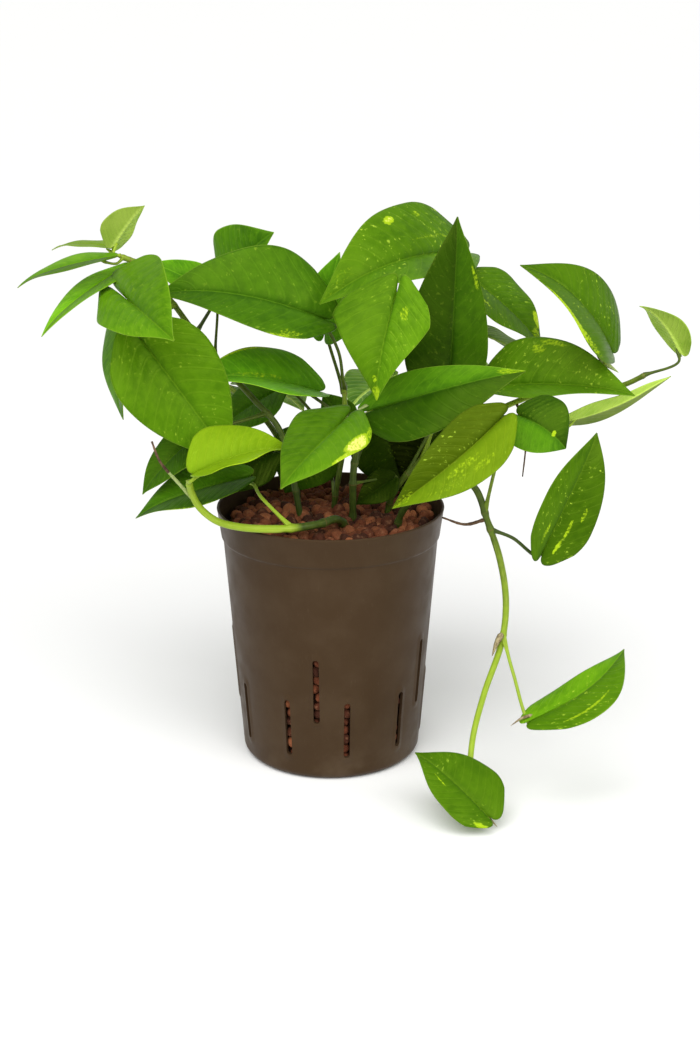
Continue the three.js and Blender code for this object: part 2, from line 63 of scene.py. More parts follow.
POT_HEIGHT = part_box("pot")[1].z / MM
RIM_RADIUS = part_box("pot")[1].x / MM
STEP_HEIGHT = 166  # where the wall steps out under the rim band
STEP_OUT = 1.2
BODY_TOP_RADIUS = 77.8
BASE_RADIUS = 65
BASE_FILLET = 6
WALL = 1.8
FLOOR = 2.4
SLOT_WIDTH = 4.5
LOWER_SLOTS = dict(first=-26, step=36, count=10, low=18, high=62)  # degrees from the front
UPPER_SLOTS = dict(first=-8, step=72, count=5, low=46, high=96)
FILL_HEIGHT = 178

WIDEST_AT = 0.28  # of a blade's length, from the petiole
NARROWING_AT_BASE = 0.4  # the share of the width lost from there back to the petiole
TIP_TAPER = 0.3  # the further share of the width lost at the very tip
TIP_TAPER_LATENESS = 4  # the larger, the closer to the tip that taper starts
LOBE_TURN = 0.85  # from the cleft to the edge, as a share of a whole arch
LOBE_FADE = 2.5  # the larger, the sooner the lobes' backward reach ends along the blade
EDGE_DROOP = 0.1  # how far the edges curl down, of the distance from the midrib
BLADE_THICKNESS = 0.6
PETIOLE_DIP = 5  # how far under and behind the blade's base the petiole arrives
PETIOLE_END = 0.06  # where it ends under the midrib, of the blade's length

ROOTED = 146  # height of the lower end of each vine

# ---------------- the plant

BARK, STILL_GREEN, DRY_BROWN = 1, 2, 3  # slots of a vine's materials, after its stem's own

# Each vine's radius near its foot, its route from inside the granules to its tip and, where it
# isn't the usual one, its age at places along it: 1 is old and dark, 0 young and green.
VINES = {
    "left": dict(radius=2.3, route=[
        (-18, -8, ROOTED), (-22, -8, 183), (-36, 0, 243), (-54, 5, 264), (-77, 8, 289),
        (-91, 5, 307), (-109, -5, 336), (-126, -12, 361), (-143, -19, 371),
    ]),
    "front": dict(radius=3, ages=((0, 0.85), (0.46, 0.85), (0.5, 0.1), (1, 0)), route=[
        (14, -22, ROOTED), (12, -27, 176), (5, -42, 190), (-7, -58, 192), (-23, -68, 192.5),
        (-41, -72, 193), (-61, -68, 193), (-78, -60, 195), (-89, -59, 204), (-94, -63, 216),
        (-95, -70, 226),
    ]),
    "centre": dict(radius=2.6, route=[
        (16, -6, ROOTED), (16, -14, 186), (17, -18, 223), (24, -12, 250), (37, -6, 269),
        (43, 2, 305), (52, 8, 334),
    ]),
    "middle": dict(radius=2.2, route=[(0, 12, ROOTED), (3, 12, 188), (10, 13, 233), (10, 14, 273)]),
    "right": dict(radius=2.3, ages=((0, 0.9), (0.4, 0.6), (0.6, 0.15), (0.8, 0.3), (1, 0.7)), route=[
        (40, 4, ROOTED), (45, 2, 195), (78, 0, 232), (105, 0, 250), (130, 4, 262),
        (160, 4, 272), (189, 0, 273), (206, -4, 277), (222, -8, 286),
    ]),
    "trailing": dict(radius=2.5, ages=((0, 1), (0.4, 0.8), (0.55, 0.4), (0.68, 0.2), (1, 0.1)), route=[
        (44, -22, ROOTED), (50, -30, 190), (69, -46, 216), (86, -60, 228), (99, -65, 220),
        (108, -68, 197), (117, -71, 170), (121.5, -74, 141), (119, -79, 113), (107, -88, 78),
        (99, -98, 48), (97, -112, 24), (100, -126, 9),
    ]),
    "rear_left": dict(radius=2.3, route=[
        (-22, 28, ROOTED), (-28, 36, 200), (-46, 56, 232), (-72, 76, 252), (-98, 88, 262),
    ]),
    "rear_right": dict(radius=2.3, route=[
        (24, 30, ROOTED), (32, 40, 200), (50, 60, 240), (72, 78, 268), (92, 92, 284),
    ]),
}

# Aerial roots: the vine each one is on, its radius, the share of it that is green, and its route.
AERIAL_ROOTS = [
    ("front", 1.3, 0.55, [(-90, -59, 206), (-103, -60, 222), (-115, -62, 238), (-120, -62, 252)]),
    ("right", 0.9, 0, [(132, 4, 262), (138, -4, 250), (138, -14, 236), (136, -18, 214)]),
    ("trailing", 1.2, 0, [(106, -67, 198), (93, -59, 192), (78, -50, 194)]),
]

# Scales left at the nodes, which only the finish has: the vine each one belongs to, its route from
# its foot, its width, the way its flat side faces, and its colour.
SHEATHS = [
    ("trailing", [(119, -80, 120), (115, -84, 114), (112, -85, 105)], 5, (-0.4, -0.9, 0), DRY_BROWN),
    ("trailing", [(139, -112, 73), (131, -115, 72), (123, -117, 67)], 2.6, (0, -0.8, 0.6), DRY_BROWN),
    ("trailing", [(105, -134, 10), (110, -137, 6), (114, -139, 2)], 2.6, (0, -0.8, 0.6), DRY_BROWN),
    ("right", [(186, -14, 308), (190, -14, 297), (201, -12, 288)], 7, (-0.2, -0.9, 0.2), STILL_GREEN),
    ("centre", [(29, -10, 262), (31, -22, 268), (37, -28, 272)], 5, (-0.3, -0.9, 0.2), STILL_GREEN),
    ("centre", [(37, -14, 270), (28, -28, 270), (16, -40, 266)], 6, (-0.1, -0.6, 0.8), STILL_GREEN),
]

# A leaf's form and look, where its own row says nothing else. via: points that the petiole passes;
# fold: degrees that each half is raised from flat; arch and bend: how far the middle of the midrib
# lies up and sideways, of the length; lean: how much narrower one half is; lobes: how far the two
# lobes reach back past the petiole, of the length; cleft: the smaller, the closer together they
# lie; fullness: the larger, the wider the blade stays towards its tip. tones: painted light and
# shade, how much lighter or darker the two halves are painted against their green, to the left and
# to the right of the midrib as the tip points away; under: the same painted light and shade on
# their lower sides; speckle: how much fine pale yellow speckling; patches: pale yellow patches,
# each as (place from base to tip, place from edge to edge, its reach both ways, as shares of the
# blade, and its strength).
USUAL_LEAF = dict(
    via=(), fold=12, arch=0.05, bend=0, lean=0, lobes=0.13, cleft=0.45, fullness=1.8,
    tones=(1, 1), under=(1, 1), speckle=0.2, patches=(),
)
STALK_AGES = {"deep": 0.75, "mid": 0.35, "lime": 0.05}  # the older, the darker the petiole
LEAVES = {}


def add_leaf(name, at, green, base, tip, width, faces, **own):
    """Lists a leaf. Its petiole's foot is at a place along its vine, from 0 to 1.

    base is where the petiole meets the blade, tip is the blade's point, and faces is the way that
    the upper side looks. own is what sets this leaf apart: its vine, if the leaf isn't named after
    it, the petiole's age as stalk, and what differs from the usual leaf.
    """
    leaf = dict(USUAL_LEAF, vine=name[:-2], at=at, green=green, width=width)
    leaf["stalk"] = STALK_AGES[green]
    for key, value in (("base", base), ("tip", tip), ("faces", faces)):
        leaf[key] = np.array(value, float)
    LEAVES[name] = {**leaf, **own}


add_leaf("left_1", 0.995, "lime", (-146, -14, 377), (-126, -6, 403), 32, (-0.6, 0.76, 0.2), fold=34,
         under=(0.7, 1.3), speckle=0.1)
add_leaf("left_2", 0.985, "mid", (-150, -28, 370), (-210, -38, 354), 26, (-0.2, -0.2, 0.95),
         tones=(1.5, 0.75))
add_leaf("left_3", 0.955, "mid", (-143, -15, 359), (-194, -50, 323), 30, (-0.5, -0.4, 0.75),
         tones=(2.6, 1.5))
add_leaf("left_4", 0.97, "lime", (-152, 5, 372), (-197, 31, 368), 20, (0, -0.1, 1))
add_leaf("left_5", 0.895, "mid", (-135, -46, 346), (-100, -98, 330), 65, (-0.5, -0.55, 0.68), fold=24,
         arch=0.08, lean=-0.16, lobes=0.42, tones=(1.25, 1.15), speckle=0.3)
add_leaf("left_6", 0.86, "deep", (-142, 0, 328), (-148, -10, 253), 44, (-0.82, -0.55, 0.1),
         tones=(1.7, 1.3), speckle=0.1)
add_leaf("left_7", 0.8, "mid", (-128, -37, 317), (-66, -48, 232), 75, (0.05, -0.88, 0.4), fold=12,
         tones=(0.95, 0.95), speckle=0.45)
add_leaf("left_8", 0.7, "deep", (-73, 38, 348), (-40, 18, 381), 46, (-0.3, -0.85, 0.4), lean=-0.25,
         lobes=0.12, tones=(1.4, 1.5), speckle=0.3)
add_leaf("left_9", 0.62, "deep", (-82, 14, 339), (-124, 0, 363), 30, (-0.1, -0.75, 0.65),
         tones=(2.5, 2.1), speckle=0.1)
add_leaf("front_1", 0.995, "lime", (-88, -84, 236), (-25, -62, 248), 58, (0.1, -0.3, 0.95), fold=32,
         arch=0.08, lobes=0.08, tones=(1.05, 0.9), speckle=0.2, patches=[(0.45, -1.0, 0.5, 0.08, 0.7)])
add_leaf("front_2", 0.5, "deep", (-62, -32, 216), (-137, -40, 192), 48, (-0.2, -0.4, 0.9),
         via=[(-46, -60, 211)], fold=17, tones=(1.3, 0.9), speckle=0.1, stalk=0,
         patches=[(0.5, 1.0, 0.3, 0.07, 0.7)])
add_leaf("front_3", 0.42, "deep", (-92, -20, 246), (-132, -36, 207), 36, (-0.5, -0.7, 0.5), vine="left")
add_leaf("centre_1", 0.6, "mid", (9, -46, 262), (-32, -104, 233), 58, (0, -0.35, 0.94), fold=9, arch=0.07,
         bend=0.04, lobes=0.2, tones=(0.8, 1.1), speckle=0.15, stalk=0.2,
         patches=[(0.33, 0.82, 0.17, 0.24, 1.3), (0.48, 0.98, 0.2, 0.16, 1.0),
                  (0.2, 0.95, 0.2, 0.2, 0.6)])
add_leaf("centre_2", 0.52, "deep", (33, -32, 267), (131, -60, 301), 50, (-0.35, -0.83, 0.4), fold=15,
         arch=0.06, lean=0.27, tones=(0.64, 1.55), speckle=0.15, patches=[(0.97, 0.5, 0.2, 0.8, 0.6)])
add_leaf("centre_3", 0.85, "mid", (44, -44, 343), (31, -68, 282), 70, (-0.25, -0.75, 0.5), fold=9,
         arch=0.1, lean=0.15, lobes=0.3, cleft=0.3, fullness=1, tones=(0.85, 1.1), speckle=0.5,
         patches=[(0.25, 0.35, 0.07, 0.14, 0.6), (0.98, 0, 0.16, 1.1, 0.7), (0.8, -0.2, 0.05, 0.2, 0.6)])
add_leaf("centre_4", 0.99, "mid", (90, 51, 358), (-6, -30, 342), 73, (-0.1, -0.8, 0.6), fold=26,
         arch=0.14, lean=0.15, fullness=2.3, tones=(0.87, 0.95), speckle=1.0,
         patches=[(0.47, -0.77, 0.045, 0.1, 1.1), (0.27, -0.75, 0.04, 0.08, 0.6),
                  (0.24, -0.3, 0.2, 0.06, 0.5), (0.9, -0.4, 0.2, 0.5, 0.35)])
add_leaf("middle_1", 0.98, "deep", (-9, -12, 326), (-118, -20, 346), 70, (0.05, -0.75, 0.66),
         via=[(9, 6, 278), (6, 0, 300)], fold=20, arch=0.08, bend=-0.03, lean=0.15, tones=(1.1, 1.05),
         speckle=0.25, patches=[(0.2, 0.85, 0.1, 0.15, 0.5), (0.22, 1.0, 0.16, 0.08, 0.7)])
add_leaf("middle_2", 0.8, "deep", (-14, 14, 268), (-96, -28, 288), 58, (0.15, -0.45, 0.88), fold=28,
         arch=0.07, tones=(2.3, 2.7), speckle=0.2,
         patches=[(0.5, -0.1, 0.3, 0.1, 0.5), (0.6, -1.0, 0.35, 0.12, 0.8)])
add_leaf("middle_3", 0.88, "deep", (12, 28, 240), (-6, 34, 262), 28, (-0.4, -0.8, 0.4))
add_leaf("middle_4", 0.95, "deep", (-4, 28, 308), (6, 10, 368), 40, (-0.3, -0.9, 0.2), tones=(2.3, 2.5))
# low_1 to low_4 and low_6 have small tones that paint them dark: painted shade under the foliage.
add_leaf("low_1", 0.35, "deep", (-10, 30, 228), (-34, 20, 190), 54, (-0.15, -0.95, 0.3), vine="middle",
         tones=(0.6, 0.55))
add_leaf("low_2", 0.32, "deep", (44, -4, 208), (18, -14, 192), 24, (-0.1, -0.95, 0.35), vine="centre",
         tones=(0.18, 0.24))
add_leaf("low_3", 0.32, "deep", (74, 42, 242), (96, 36, 198), 60, (0.1, -0.95, 0.3), vine="rear_right",
         tones=(0.25, 0.25))
add_leaf("low_4", 0.4, "deep", (38, 26, 240), (54, 18, 190), 60, (0.05, -0.95, 0.3), vine="centre",
         tones=(0.2, 0.025))
add_leaf("low_5", 0.62, "deep", (-38, 34, 264), (-84, 36, 232), 46, (-0.3, -0.6, 0.75), vine="middle",
         tones=(1.15, 1.35))
add_leaf("low_6", 0.2, "deep", (-44, 12, 222), (-98, 4, 198), 42, (-0.1, -0.85, 0.5), vine="left",
         tones=(0.22, 0.25))
add_leaf("right_1", 0.42, "mid", (114, 0, 275), (209, -38, 280), 60, (0.05, -0.62, 0.78), fold=30,
         lean=-0.25, lobes=0.07, tones=(0.9, 0.85), speckle=0.9,
         patches=[(0.33, 0.72, 0.07, 0.14, 0.6), (0.42, 0.9, 0.14, 0.1, 0.6)])
add_leaf("right_2", 0.32, "mid", (100, 38, 345), (152, 15, 299), 56, (0.45, -0.5, 0.75),
         via=[(96, 30, 310)], lobes=0.08, tones=(0.75, 0.75), speckle=0.9,
         patches=[(0.74, 0.85, 0.1, 0.25, 1.0), (0.85, 0.4, 0.1, 0.5, 0.6), (0.2, -0.6, 0.3, 0.08, 0.7)])
add_leaf("right_3", 0.77, "mid", (193, -20, 305), (130, -32, 368), 64, (0.62, -0.55, 0.55), fold=16,
         arch=0.13, lobes=0.06, tones=(0.7, 0.68), speckle=0.7,
         patches=[(0.55, 0.95, 0.35, 0.12, 0.8), (0.3, 0.9, 0.2, 0.14, 0.6)])
add_leaf("right_4", 0.99, "lime", (242, -12, 303), (213, -18, 337), 32, (0.6, 0.55, 0.5), fold=18,
         arch=0.1, under=(1.35, 1.0), speckle=0.1, stalk=0.8)
add_leaf("right_5", 0.475, "lime", (168, -14, 255), (236, -18, 289), 26, (-0.2, 0.7, 0.65), fold=10,
         arch=-0.08, under=(1.3, 0.5), stalk=0.2)
add_leaf("right_6", 0.507, "deep", (131, -43, 264), (161, -57, 246), 48, (0.1, -0.8, 0.6), fold=12,
         arch=0.16, lobes=0.16, fullness=3, tones=(1.6, 0.65), speckle=0.2,
         patches=[(0.69, 0.05, 0.05, 0.16, 0.9)])
add_leaf("right_7", 0.264, "deep", (84, -2, 275), (87, -14, 396), 60, (0, -0.97, -0.1), fold=15,
         arch=0.06, lean=-0.15, tones=(0.8, 0.42), speckle=0.1, patches=[(0.68, -0.85, 0.1, 0.14, 0.6)])
add_leaf("trailing_1", 0.4, "lime", (112, -76, 270), (41, -100, 217), 50, (0.15, -0.7, 0.7), fold=22,
         arch=0.06, bend=0.05, lean=-0.1, tones=(0.25, 0.65), speckle=0.7, stalk=0.6,
         patches=[(0.45, 0.3, 0.2, 0.2, 0.5), (0.33, 0.6, 0.14, 0.16, 0.5), (0.95, -0.1, 0.2, 1.0, 0.5),
                  (0.6, 0.6, 0.25, 0.3, 0.4)])
add_leaf("trailing_2", 0.435, "mid", (146, -74, 178), (183, -54, 256), 43, (0.3, -0.85, 0.3),
         via=[(125, -70, 186)], fold=15, bend=0.015, lean=0.17, lobes=0.1, fullness=2.5,
         tones=(0.53, 0.65), speckle=1.0, stalk=1.0, patches=[(0.14, -0.32, 0.08, 0.08, 0.8),
                  (0.27, -0.36, 0.1, 0.08, 0.7), (0.4, -0.6, 0.08, 0.08, 0.6), (0.2, 0.3, 0.1, 0.1, 0.6)])
add_leaf("trailing_3", 0.65, "mid", (140, -112, 72), (204, -74, 108), 46, (-0.25, -0.25, 0.93),
         via=[(126, -92, 96)], fold=4, bend=-0.18, lean=0.2, tones=(0.95, 1.5), speckle=0.9, stalk=0.25,
         patches=[(0.35, -0.62, 0.3, 0.06, 0.7)])
add_leaf("trailing_4", 0.995, "mid", (106, -140, 12), (59, -110, 45), 50, (0.1, -0.5, 0.85), fold=8,
         lean=0.13, tones=(0.72, 0.76), speckle=0.6, stalk=0.1,
         patches=[(0.6, 0.38, 0.12, 0.05, 0.8), (0.03, 0.65, 0.1, 0.2, 0.8)])
add_leaf("rear_left_1", 0.62, "mid", (-60, 80, 258), (-22, 128, 226), 58, (0.2, 0.6, 0.75),
         tones=(0.45, 0.45))
add_leaf("rear_left_2", 0.99, "mid", (-106, 84, 270), (-160, 102, 244), 54, (-0.4, 0.4, 0.8))
add_leaf("rear_left_3", 0.85, "deep", (-92, 100, 248), (-112, 150, 204), 56, (-0.15, 0.7, 0.6))
add_leaf("rear_left_4", 0.4, "deep", (-60, 56, 222), (-116, 52, 204), 46, (-0.3, 0.1, 0.9))
add_leaf("rear_right_1", 0.62, "deep", (48, 84, 262), (14, 136, 226), 58, (-0.1, 0.7, 0.7),
         under=(2.5, 2.5))
add_leaf("rear_right_2", 0.99, "mid", (102, 94, 296), (156, 104, 268), 56, (0.3, 0.3, 0.88),
         under=(0.7, 0.7))
add_leaf("rear_right_3", 0.85, "mid", (88, 104, 272), (106, 156, 224), 58, (0.2, 0.8, 0.55))
add_leaf("rear_right_4", 0.4, "deep", (60, 56, 218), (114, 62, 206), 46, (0.2, 0.1, 0.95))

# ---------------- meshes


def arc(centre, radius, start, end, steps):
    """(radius, height) corners of a round stretch of a profile, between two angles in degrees."""
    angles = np.radians(np.linspace(start, end, steps + 1))
    return [(centre[0] + radius * math.cos(a), centre[1] + radius * math.sin(a)) for a in angles]


def angles_around(count):
    return np.linspace(0, 2 * math.pi, count, endpoint=False)


def hill(offset, reach):
    """1 where the offset is 0, and smoothly less away from it."""
    return np.exp(-((offset / reach) ** 2))


def unit(vectors):
    return vectors / np.maximum(np.linalg.norm(vectors, axis=-1, keepdims=True), 1e-9)


def new_object(name, data):
    """An object in the scene for a mesh, light or camera."""
    made = bpy.data.objects.new(name, data)
    bpy.context.scene.collection.objects.link(made)
    return made


def joined(parts):
    """Several (points, faces, slots, fields) as one. A field that a part lacks is 0 there."""
    points, faces, slots, fields = zip(*parts)
    starts = np.cumsum([0, *map(len, points[:-1])])
    faces = [own + start for own, start in zip(faces, starts)]
    kinds = {name: values.shape[1:] for own in fields for name, values in own.items()}
    together = {}
    for name, kind in kinds.items():
        blanks = (np.zeros((len(own), *kind)) for own in points)
        rows = [own.get(name, blank) for own, blank in zip(fields, blanks)]
        together[name] = np.concatenate(rows)
    return np.concatenate(points), np.concatenate(faces), np.concatenate(slots), together


def mesh_object(name, points, faces, slots, fields, materials):
    """An object from points in mm and faces of four corners, or three where a corner comes twice.

    fields are arrays with a row for each point, and become attributes of the mesh.
    """
    corners = [tuple(dict.fromkeys(face)) for face in faces.tolist()]
    kept = [i for i, face in enumerate(corners) if len(face) > 2]
    mesh = bpy.data.meshes.new(name)
    mesh.from_pydata((np.asarray(points) * MM).tolist(), [], [corners[i] for i in kept])
    mesh.polygons.foreach_set("material_index", np.asarray(slots)[kept].astype(np.int32))
    mesh.shade_smooth()
    for field, values in fields.items():
        kind, key = ("FLOAT", "value") if values.ndim == 1 else ("FLOAT_VECTOR", "vector")
        made = mesh.attributes.new(field, kind, "POINT")
        made.data.foreach_set(key, np.asarray(values, np.float32).ravel())
    for material in materials:
        mesh.materials.append(material)
    mesh.validate()
    return new_object(name, mesh)


def grid_faces(rows, columns, closed=False):
    """Four-cornered faces between neighbouring points of a grid that is counted row by row."""
    across = columns if closed else columns - 1
    row, column = np.meshgrid(np.arange(rows - 1), np.arange(across), indexing="ij")
    here = row * columns + column
    beside = row * columns + (column + 1) % columns
    return np.stack([here, here + columns, beside + columns, beside], -1).reshape(-1, 4)


def capped_faces(rings, sides):
    """Faces of rings and of two caps, whose middle points follow those of the rings."""
    around = np.arange(sides)
    after = (around + 1) % sides
    last_ring = (rings - 1) * sides
    middle = np.full(sides, rings * sides)
    return np.concatenate([
        grid_faces(rings, sides, closed=True)[:, ::-1],
        np.stack([middle, after, around, around], 1),
        np.stack([middle + 1, around + last_ring, after + last_ring, after + last_ring], 1),
    ])


def distances(line):
    """How far each point of a line lies from its start, along it."""
    return np.concatenate([[0], np.cumsum(np.linalg.norm(np.diff(line, axis=0), axis=1))])


def smooth_route(points, spacing):
    """Evenly spaced points on the centripetal Catmull-Rom curve through the given ones."""
    points = np.array(points, float)
    ends = [2 * points[0] - points[1], *points, 2 * points[-1] - points[-2]]
    t = np.linspace(0, 1, 24, endpoint=False)[:, None]
    pieces = []
    for a, b, c, d in zip(ends, ends[1:], ends[2:], ends[3:]):
        before, here, after = (np.linalg.norm(q - p) ** 0.5 for p, q in ((a, b), (b, c), (c, d)))
        start = ((b - a) / before - (c - a) / (before + here) + (c - b) / here) * here
        end = ((c - b) / here - (d - b) / (here + after) + (d - c) / after) * here
        pieces.append(
            b + start * t + (3 * (c - b) - 2 * start - end) * t**2
            + (2 * (b - c) + start + end) * t**3
        )
    line = np.concatenate([*pieces, points[-1:]])
    along = distances(line)
    places = np.linspace(0, along[-1], max(4, round(along[-1] / spacing)) + 1)
    return np.stack([np.interp(places, along, line[:, axis]) for axis in range(3)], 1)


def point_at(route, share):
    place = share * (len(route) - 1)
    first = min(int(place), len(route) - 2)
    return route[first] + (place - first) * (route[first + 1] - route[first])


def tube(route, radii, side_of=(0, 0, 1)):
    """A closed tube along a route, with a radius for each of its points and each side.

    Its last result is, for each point, the cosine and sine of its turn and its place along.
    """
    rings, sides = radii.shape
    ahead = unit(np.gradient(route, axis=0))
    first_side = np.empty_like(route)
    out = np.array(side_of, float)
    for i, way in enumerate(ahead):
        out = out - way * (out @ way)
        if np.linalg.norm(out) < 0.05:
            out = np.cross(way, (0, 1, 0))
        out = out / np.linalg.norm(out)
        first_side[i] = out
    beside = np.cross(ahead, first_side)
    angles = angles_around(sides)
    cosines, sines = np.cos(angles), np.sin(angles)
    spokes = first_side[:, None] * cosines[:, None] + beside[:, None] * sines[:, None]
    points = (route[:, None] + spokes * radii[:, :, None]).reshape(-1, 3)
    length = distances(route)
    turns = [np.tile(cosines, rings), np.tile(sines, rings), np.repeat(length, sides)]
    place = np.concatenate([np.stack(turns, 1), [(0, 0, 0), (0, 0, length[-1])]])
    return np.concatenate([points, route[:1], route[-1:]]), capped_faces(rings, sides), place


# ---------------- materials


MIX_SHARE, MIX_UNDER, MIX_OVER, MIX_RESULT = 0, 6, 7, 2  # sockets of a mix of colours


class Finish:
    """A material and short calls that add nodes to it. Most return the new node's output."""

    def __init__(self, name, colour, roughness=0.5, specular=0.3, tint=(1, 1, 1)):
        self.colour = colour
        self.material = bpy.data.materials.new(name)
        self.material.use_nodes = True
        self.tree = self.material.node_tree
        self.tree.nodes.clear()
        self.shader = self.node("BsdfPrincipled")
        self.set(Roughness=roughness, Specular_IOR_Level=specular, Specular_Tint=tint)
        output = self.node("OutputMaterial")
        self.tree.links.new(self.shader.outputs["BSDF"], output.inputs["Surface"])

    def set(self, **sockets):
        for name, value in sockets.items():
            self.put(self.shader.inputs[name.replace("_", " ")], value)

    def done(self, **sockets):
        self.set(Base_Color=self.colour, **sockets)
        return self.material

    def put(self, socket, value):
        if isinstance(value, bpy.types.NodeSocket):
            self.tree.links.new(value, socket)
        elif socket.type == "RGBA":
            socket.default_value = (*value, 1)
        else:
            socket.default_value = value

    def node(self, kind, inputs=(), **settings):
        made = self.tree.nodes.new("ShaderNode" + kind)
        for setting, value in settings.items():
            setattr(made, setting, value)
        for key, value in dict(inputs).items():
            self.put(made.inputs[key], value)
        return made

    def field(self, name, output="Vector"):
        """A mesh field: a vector, or its number with the output Fac."""
        return self.node("Attribute", attribute_name=name).outputs[output]

    def position(self):
        return self.node("TexCoord").outputs["Object"]

    def parts(self, vector):
        return tuple(self.node("SeparateXYZ", {"Vector": vector}).outputs)

    def vector(self, x, y, z):
        return self.node("CombineXYZ", {"X": x, "Y": y, "Z": z}).outputs[0]

    def math(self, operation, a, b=0.0):
        return self.node("Math", {0: a, 1: b}, operation=operation).outputs[0]

    def plus(self, a, b):
        return self.math("ADD", a, b)

    def times(self, a, b):
        return self.math("MULTIPLY", a, b)

    def noise(self, vector, scale, detail=2.0, roughness=0.5):
        inputs = {"Vector": vector, "Scale": scale, "Detail": detail, "Roughness": roughness}
        return self.node("TexNoise", inputs).outputs["Fac"]

    def cells(self, vector, scale):
        inputs = {"Vector": vector, "Scale": scale}
        return self.node("TexVoronoi", inputs).outputs["Distance"]

    def ramp(self, value, low, high, to_low=0.0, to_high=1.0):
        """value's range low to high as to_low to to_high, smoothly, and level outside it."""
        inputs = {"Value": value, "From Min": low, "From Max": high}
        inputs.update({"To Min": to_low, "To Max": to_high})
        return self.node("MapRange", inputs, interpolation_type="SMOOTHSTEP").outputs[0]

    def coat(self, share, colour, blend="MIX"):
        """Lays a share of a colour over the material's colour so far."""
        inputs = {MIX_SHARE: share, MIX_UNDER: self.colour, MIX_OVER: colour}
        mix = self.node("Mix", inputs, data_type="RGBA", blend_type=blend)
        self.colour = mix.outputs[MIX_RESULT]

    def bump(self, height, distance, strength=1.0, over=None):
        inputs = {"Height": height, "Distance": distance * MM, "Strength": strength}
        if over is not None:
            inputs["Normal"] = over
        return self.node("Bump", inputs).outputs[0]


PALE_EDGE = (0.22, 0.34, 0.03)
SPECKLE = (0.36, 0.52, 0.04)
PATCH = (0.36, 0.52, 0.012)
CREAM = (0.9, 0.82, 0.22)
UNDER_VEIN = (0.42, 0.56, 0.1)
UNDER_EDGE = (0.45, 0.58, 0.1)
STEM_STREAK = (0.46, 0.52, 0.1)
NODE_BROWN = (0.16, 0.1, 0.035)
POT_BROWN = (0.041, 0.0235, 0.0118)
POT_BROWN_LIGHT = (0.05, 0.0305, 0.0165)
POT_SCUFF = (0.12, 0.09, 0.06)
POT_DUST = (0.14, 0.105, 0.07)
CLAY_DARK = (0.04, 0.014, 0.008)
CLAY_MID = (0.13, 0.037, 0.016)
CLAY_LIGHT = (0.29, 0.1, 0.04)
CLAY_DUST = (0.36, 0.17, 0.09)
CLAY_PIT = (0.04, 0.012, 0.008)


def upper_side(name, shade, light, vein):
    """The glossy upper side of a blade: two greens, faint veins, pale yellow variegation, and painted
    light and shade.
    """
    mat = Finish(name, shade, roughness=0.36, specular=0.2, tint=(0.7, 1, 0.1))
    place = mat.field("leaf_place")
    across, along, _ = mat.parts(place)
    phase, edge, patch = mat.parts(mat.field("leaf_lines"))
    tone, speckle, _ = mat.parts(mat.field("leaf_look"))

    blotches = mat.ramp(mat.noise(place, 0.04, 3), 0.3, 0.7, 0.25, 0.75)
    streak_place = mat.vector(mat.times(phase, 7.0), across, along)
    streaks = mat.noise(streak_place, 0.16, 5, 0.65)
    mat.coat(blotches, light)
    mat.coat(mat.ramp(streaks, 0.38, 0.62, 0, 0.6), light)
    lateral = mat.ramp(mat.math("PINGPONG", phase, 0.5), 0.03, 0.1, 1, 0)
    mat.coat(mat.times(lateral, 0.24), vein)
    off_midrib = mat.math("ABSOLUTE", across)
    # Painted shade: a darker band along the sunk midrib, fading out within 6 mm of it.
    mat.coat(mat.ramp(off_midrib, 0.7, 6.0, 0.5, 0), shade)
    mat.coat(mat.ramp(off_midrib, 0.3, 0.8, 0.4, 0), vein)
    mat.coat(mat.ramp(edge, 0.2, 0.6, 0.35, 0), PALE_EDGE)
    # Painted light and shade: each half made lighter or darker by its own tone.
    mat.coat(1.0, tone, "MULTIPLY")

    regions = mat.ramp(mat.noise(place, 0.035, 2), 0.42, 0.6)
    specks = mat.ramp(mat.noise(streak_place, 0.33, 3, 0.55), 0.6, 0.74)
    flecks = mat.times(mat.times(specks, regions), speckle)
    mat.coat(flecks, SPECKLE)
    broken = mat.math("SUBTRACT", mat.noise(streak_place, 0.45, 3, 0.6), 0.5)
    ragged = mat.plus(patch, mat.times(broken, 1.2))
    mat.coat(mat.ramp(ragged, 0.4, 0.85, 0, 0.85), PATCH)
    mat.coat(mat.ramp(ragged, 1.0, 1.5), CREAM)

    relief = mat.bump(lateral, 0.2, 0.5)
    relief = mat.bump(mat.noise(place, 1.3, 2), 0.05, 0.4, relief)
    roughness = mat.ramp(mat.noise(place, 0.09, 3), 0.3, 0.7, 0.28, 0.42)
    return mat.done(Roughness=roughness, Normal=relief)


def under_side(name, shade, light):
    """The paler and duller lower side of a blade, with painted light and shade on each half."""
    mat = Finish(name, shade, specular=0.14, tint=(0.9, 1, 0.4))
    _, _, tone = mat.parts(mat.field("leaf_look"))
    place = mat.field("leaf_place")
    across, _, _ = mat.parts(place)
    phase, edge, _ = mat.parts(mat.field("leaf_lines"))
    mat.coat(mat.ramp(mat.noise(place, 0.06, 3), 0.35, 0.65), light)
    lateral = mat.ramp(mat.math("PINGPONG", phase, 0.5), 0.04, 0.13, 1, 0)
    mat.coat(mat.times(lateral, 0.16), UNDER_VEIN)
    midrib = mat.ramp(mat.math("ABSOLUTE", across), 0.8, 1.8, 0.65, 0)
    mat.coat(midrib, UNDER_VEIN)
    mat.coat(mat.ramp(edge, 0.25, 0.7, 0.5, 0), UNDER_EDGE)
    # Painted light and shade: each half made lighter or darker by its own tone.
    mat.coat(1.0, tone, "MULTIPLY")
    return mat.done(Normal=mat.bump(lateral, 0.3, 0.6))


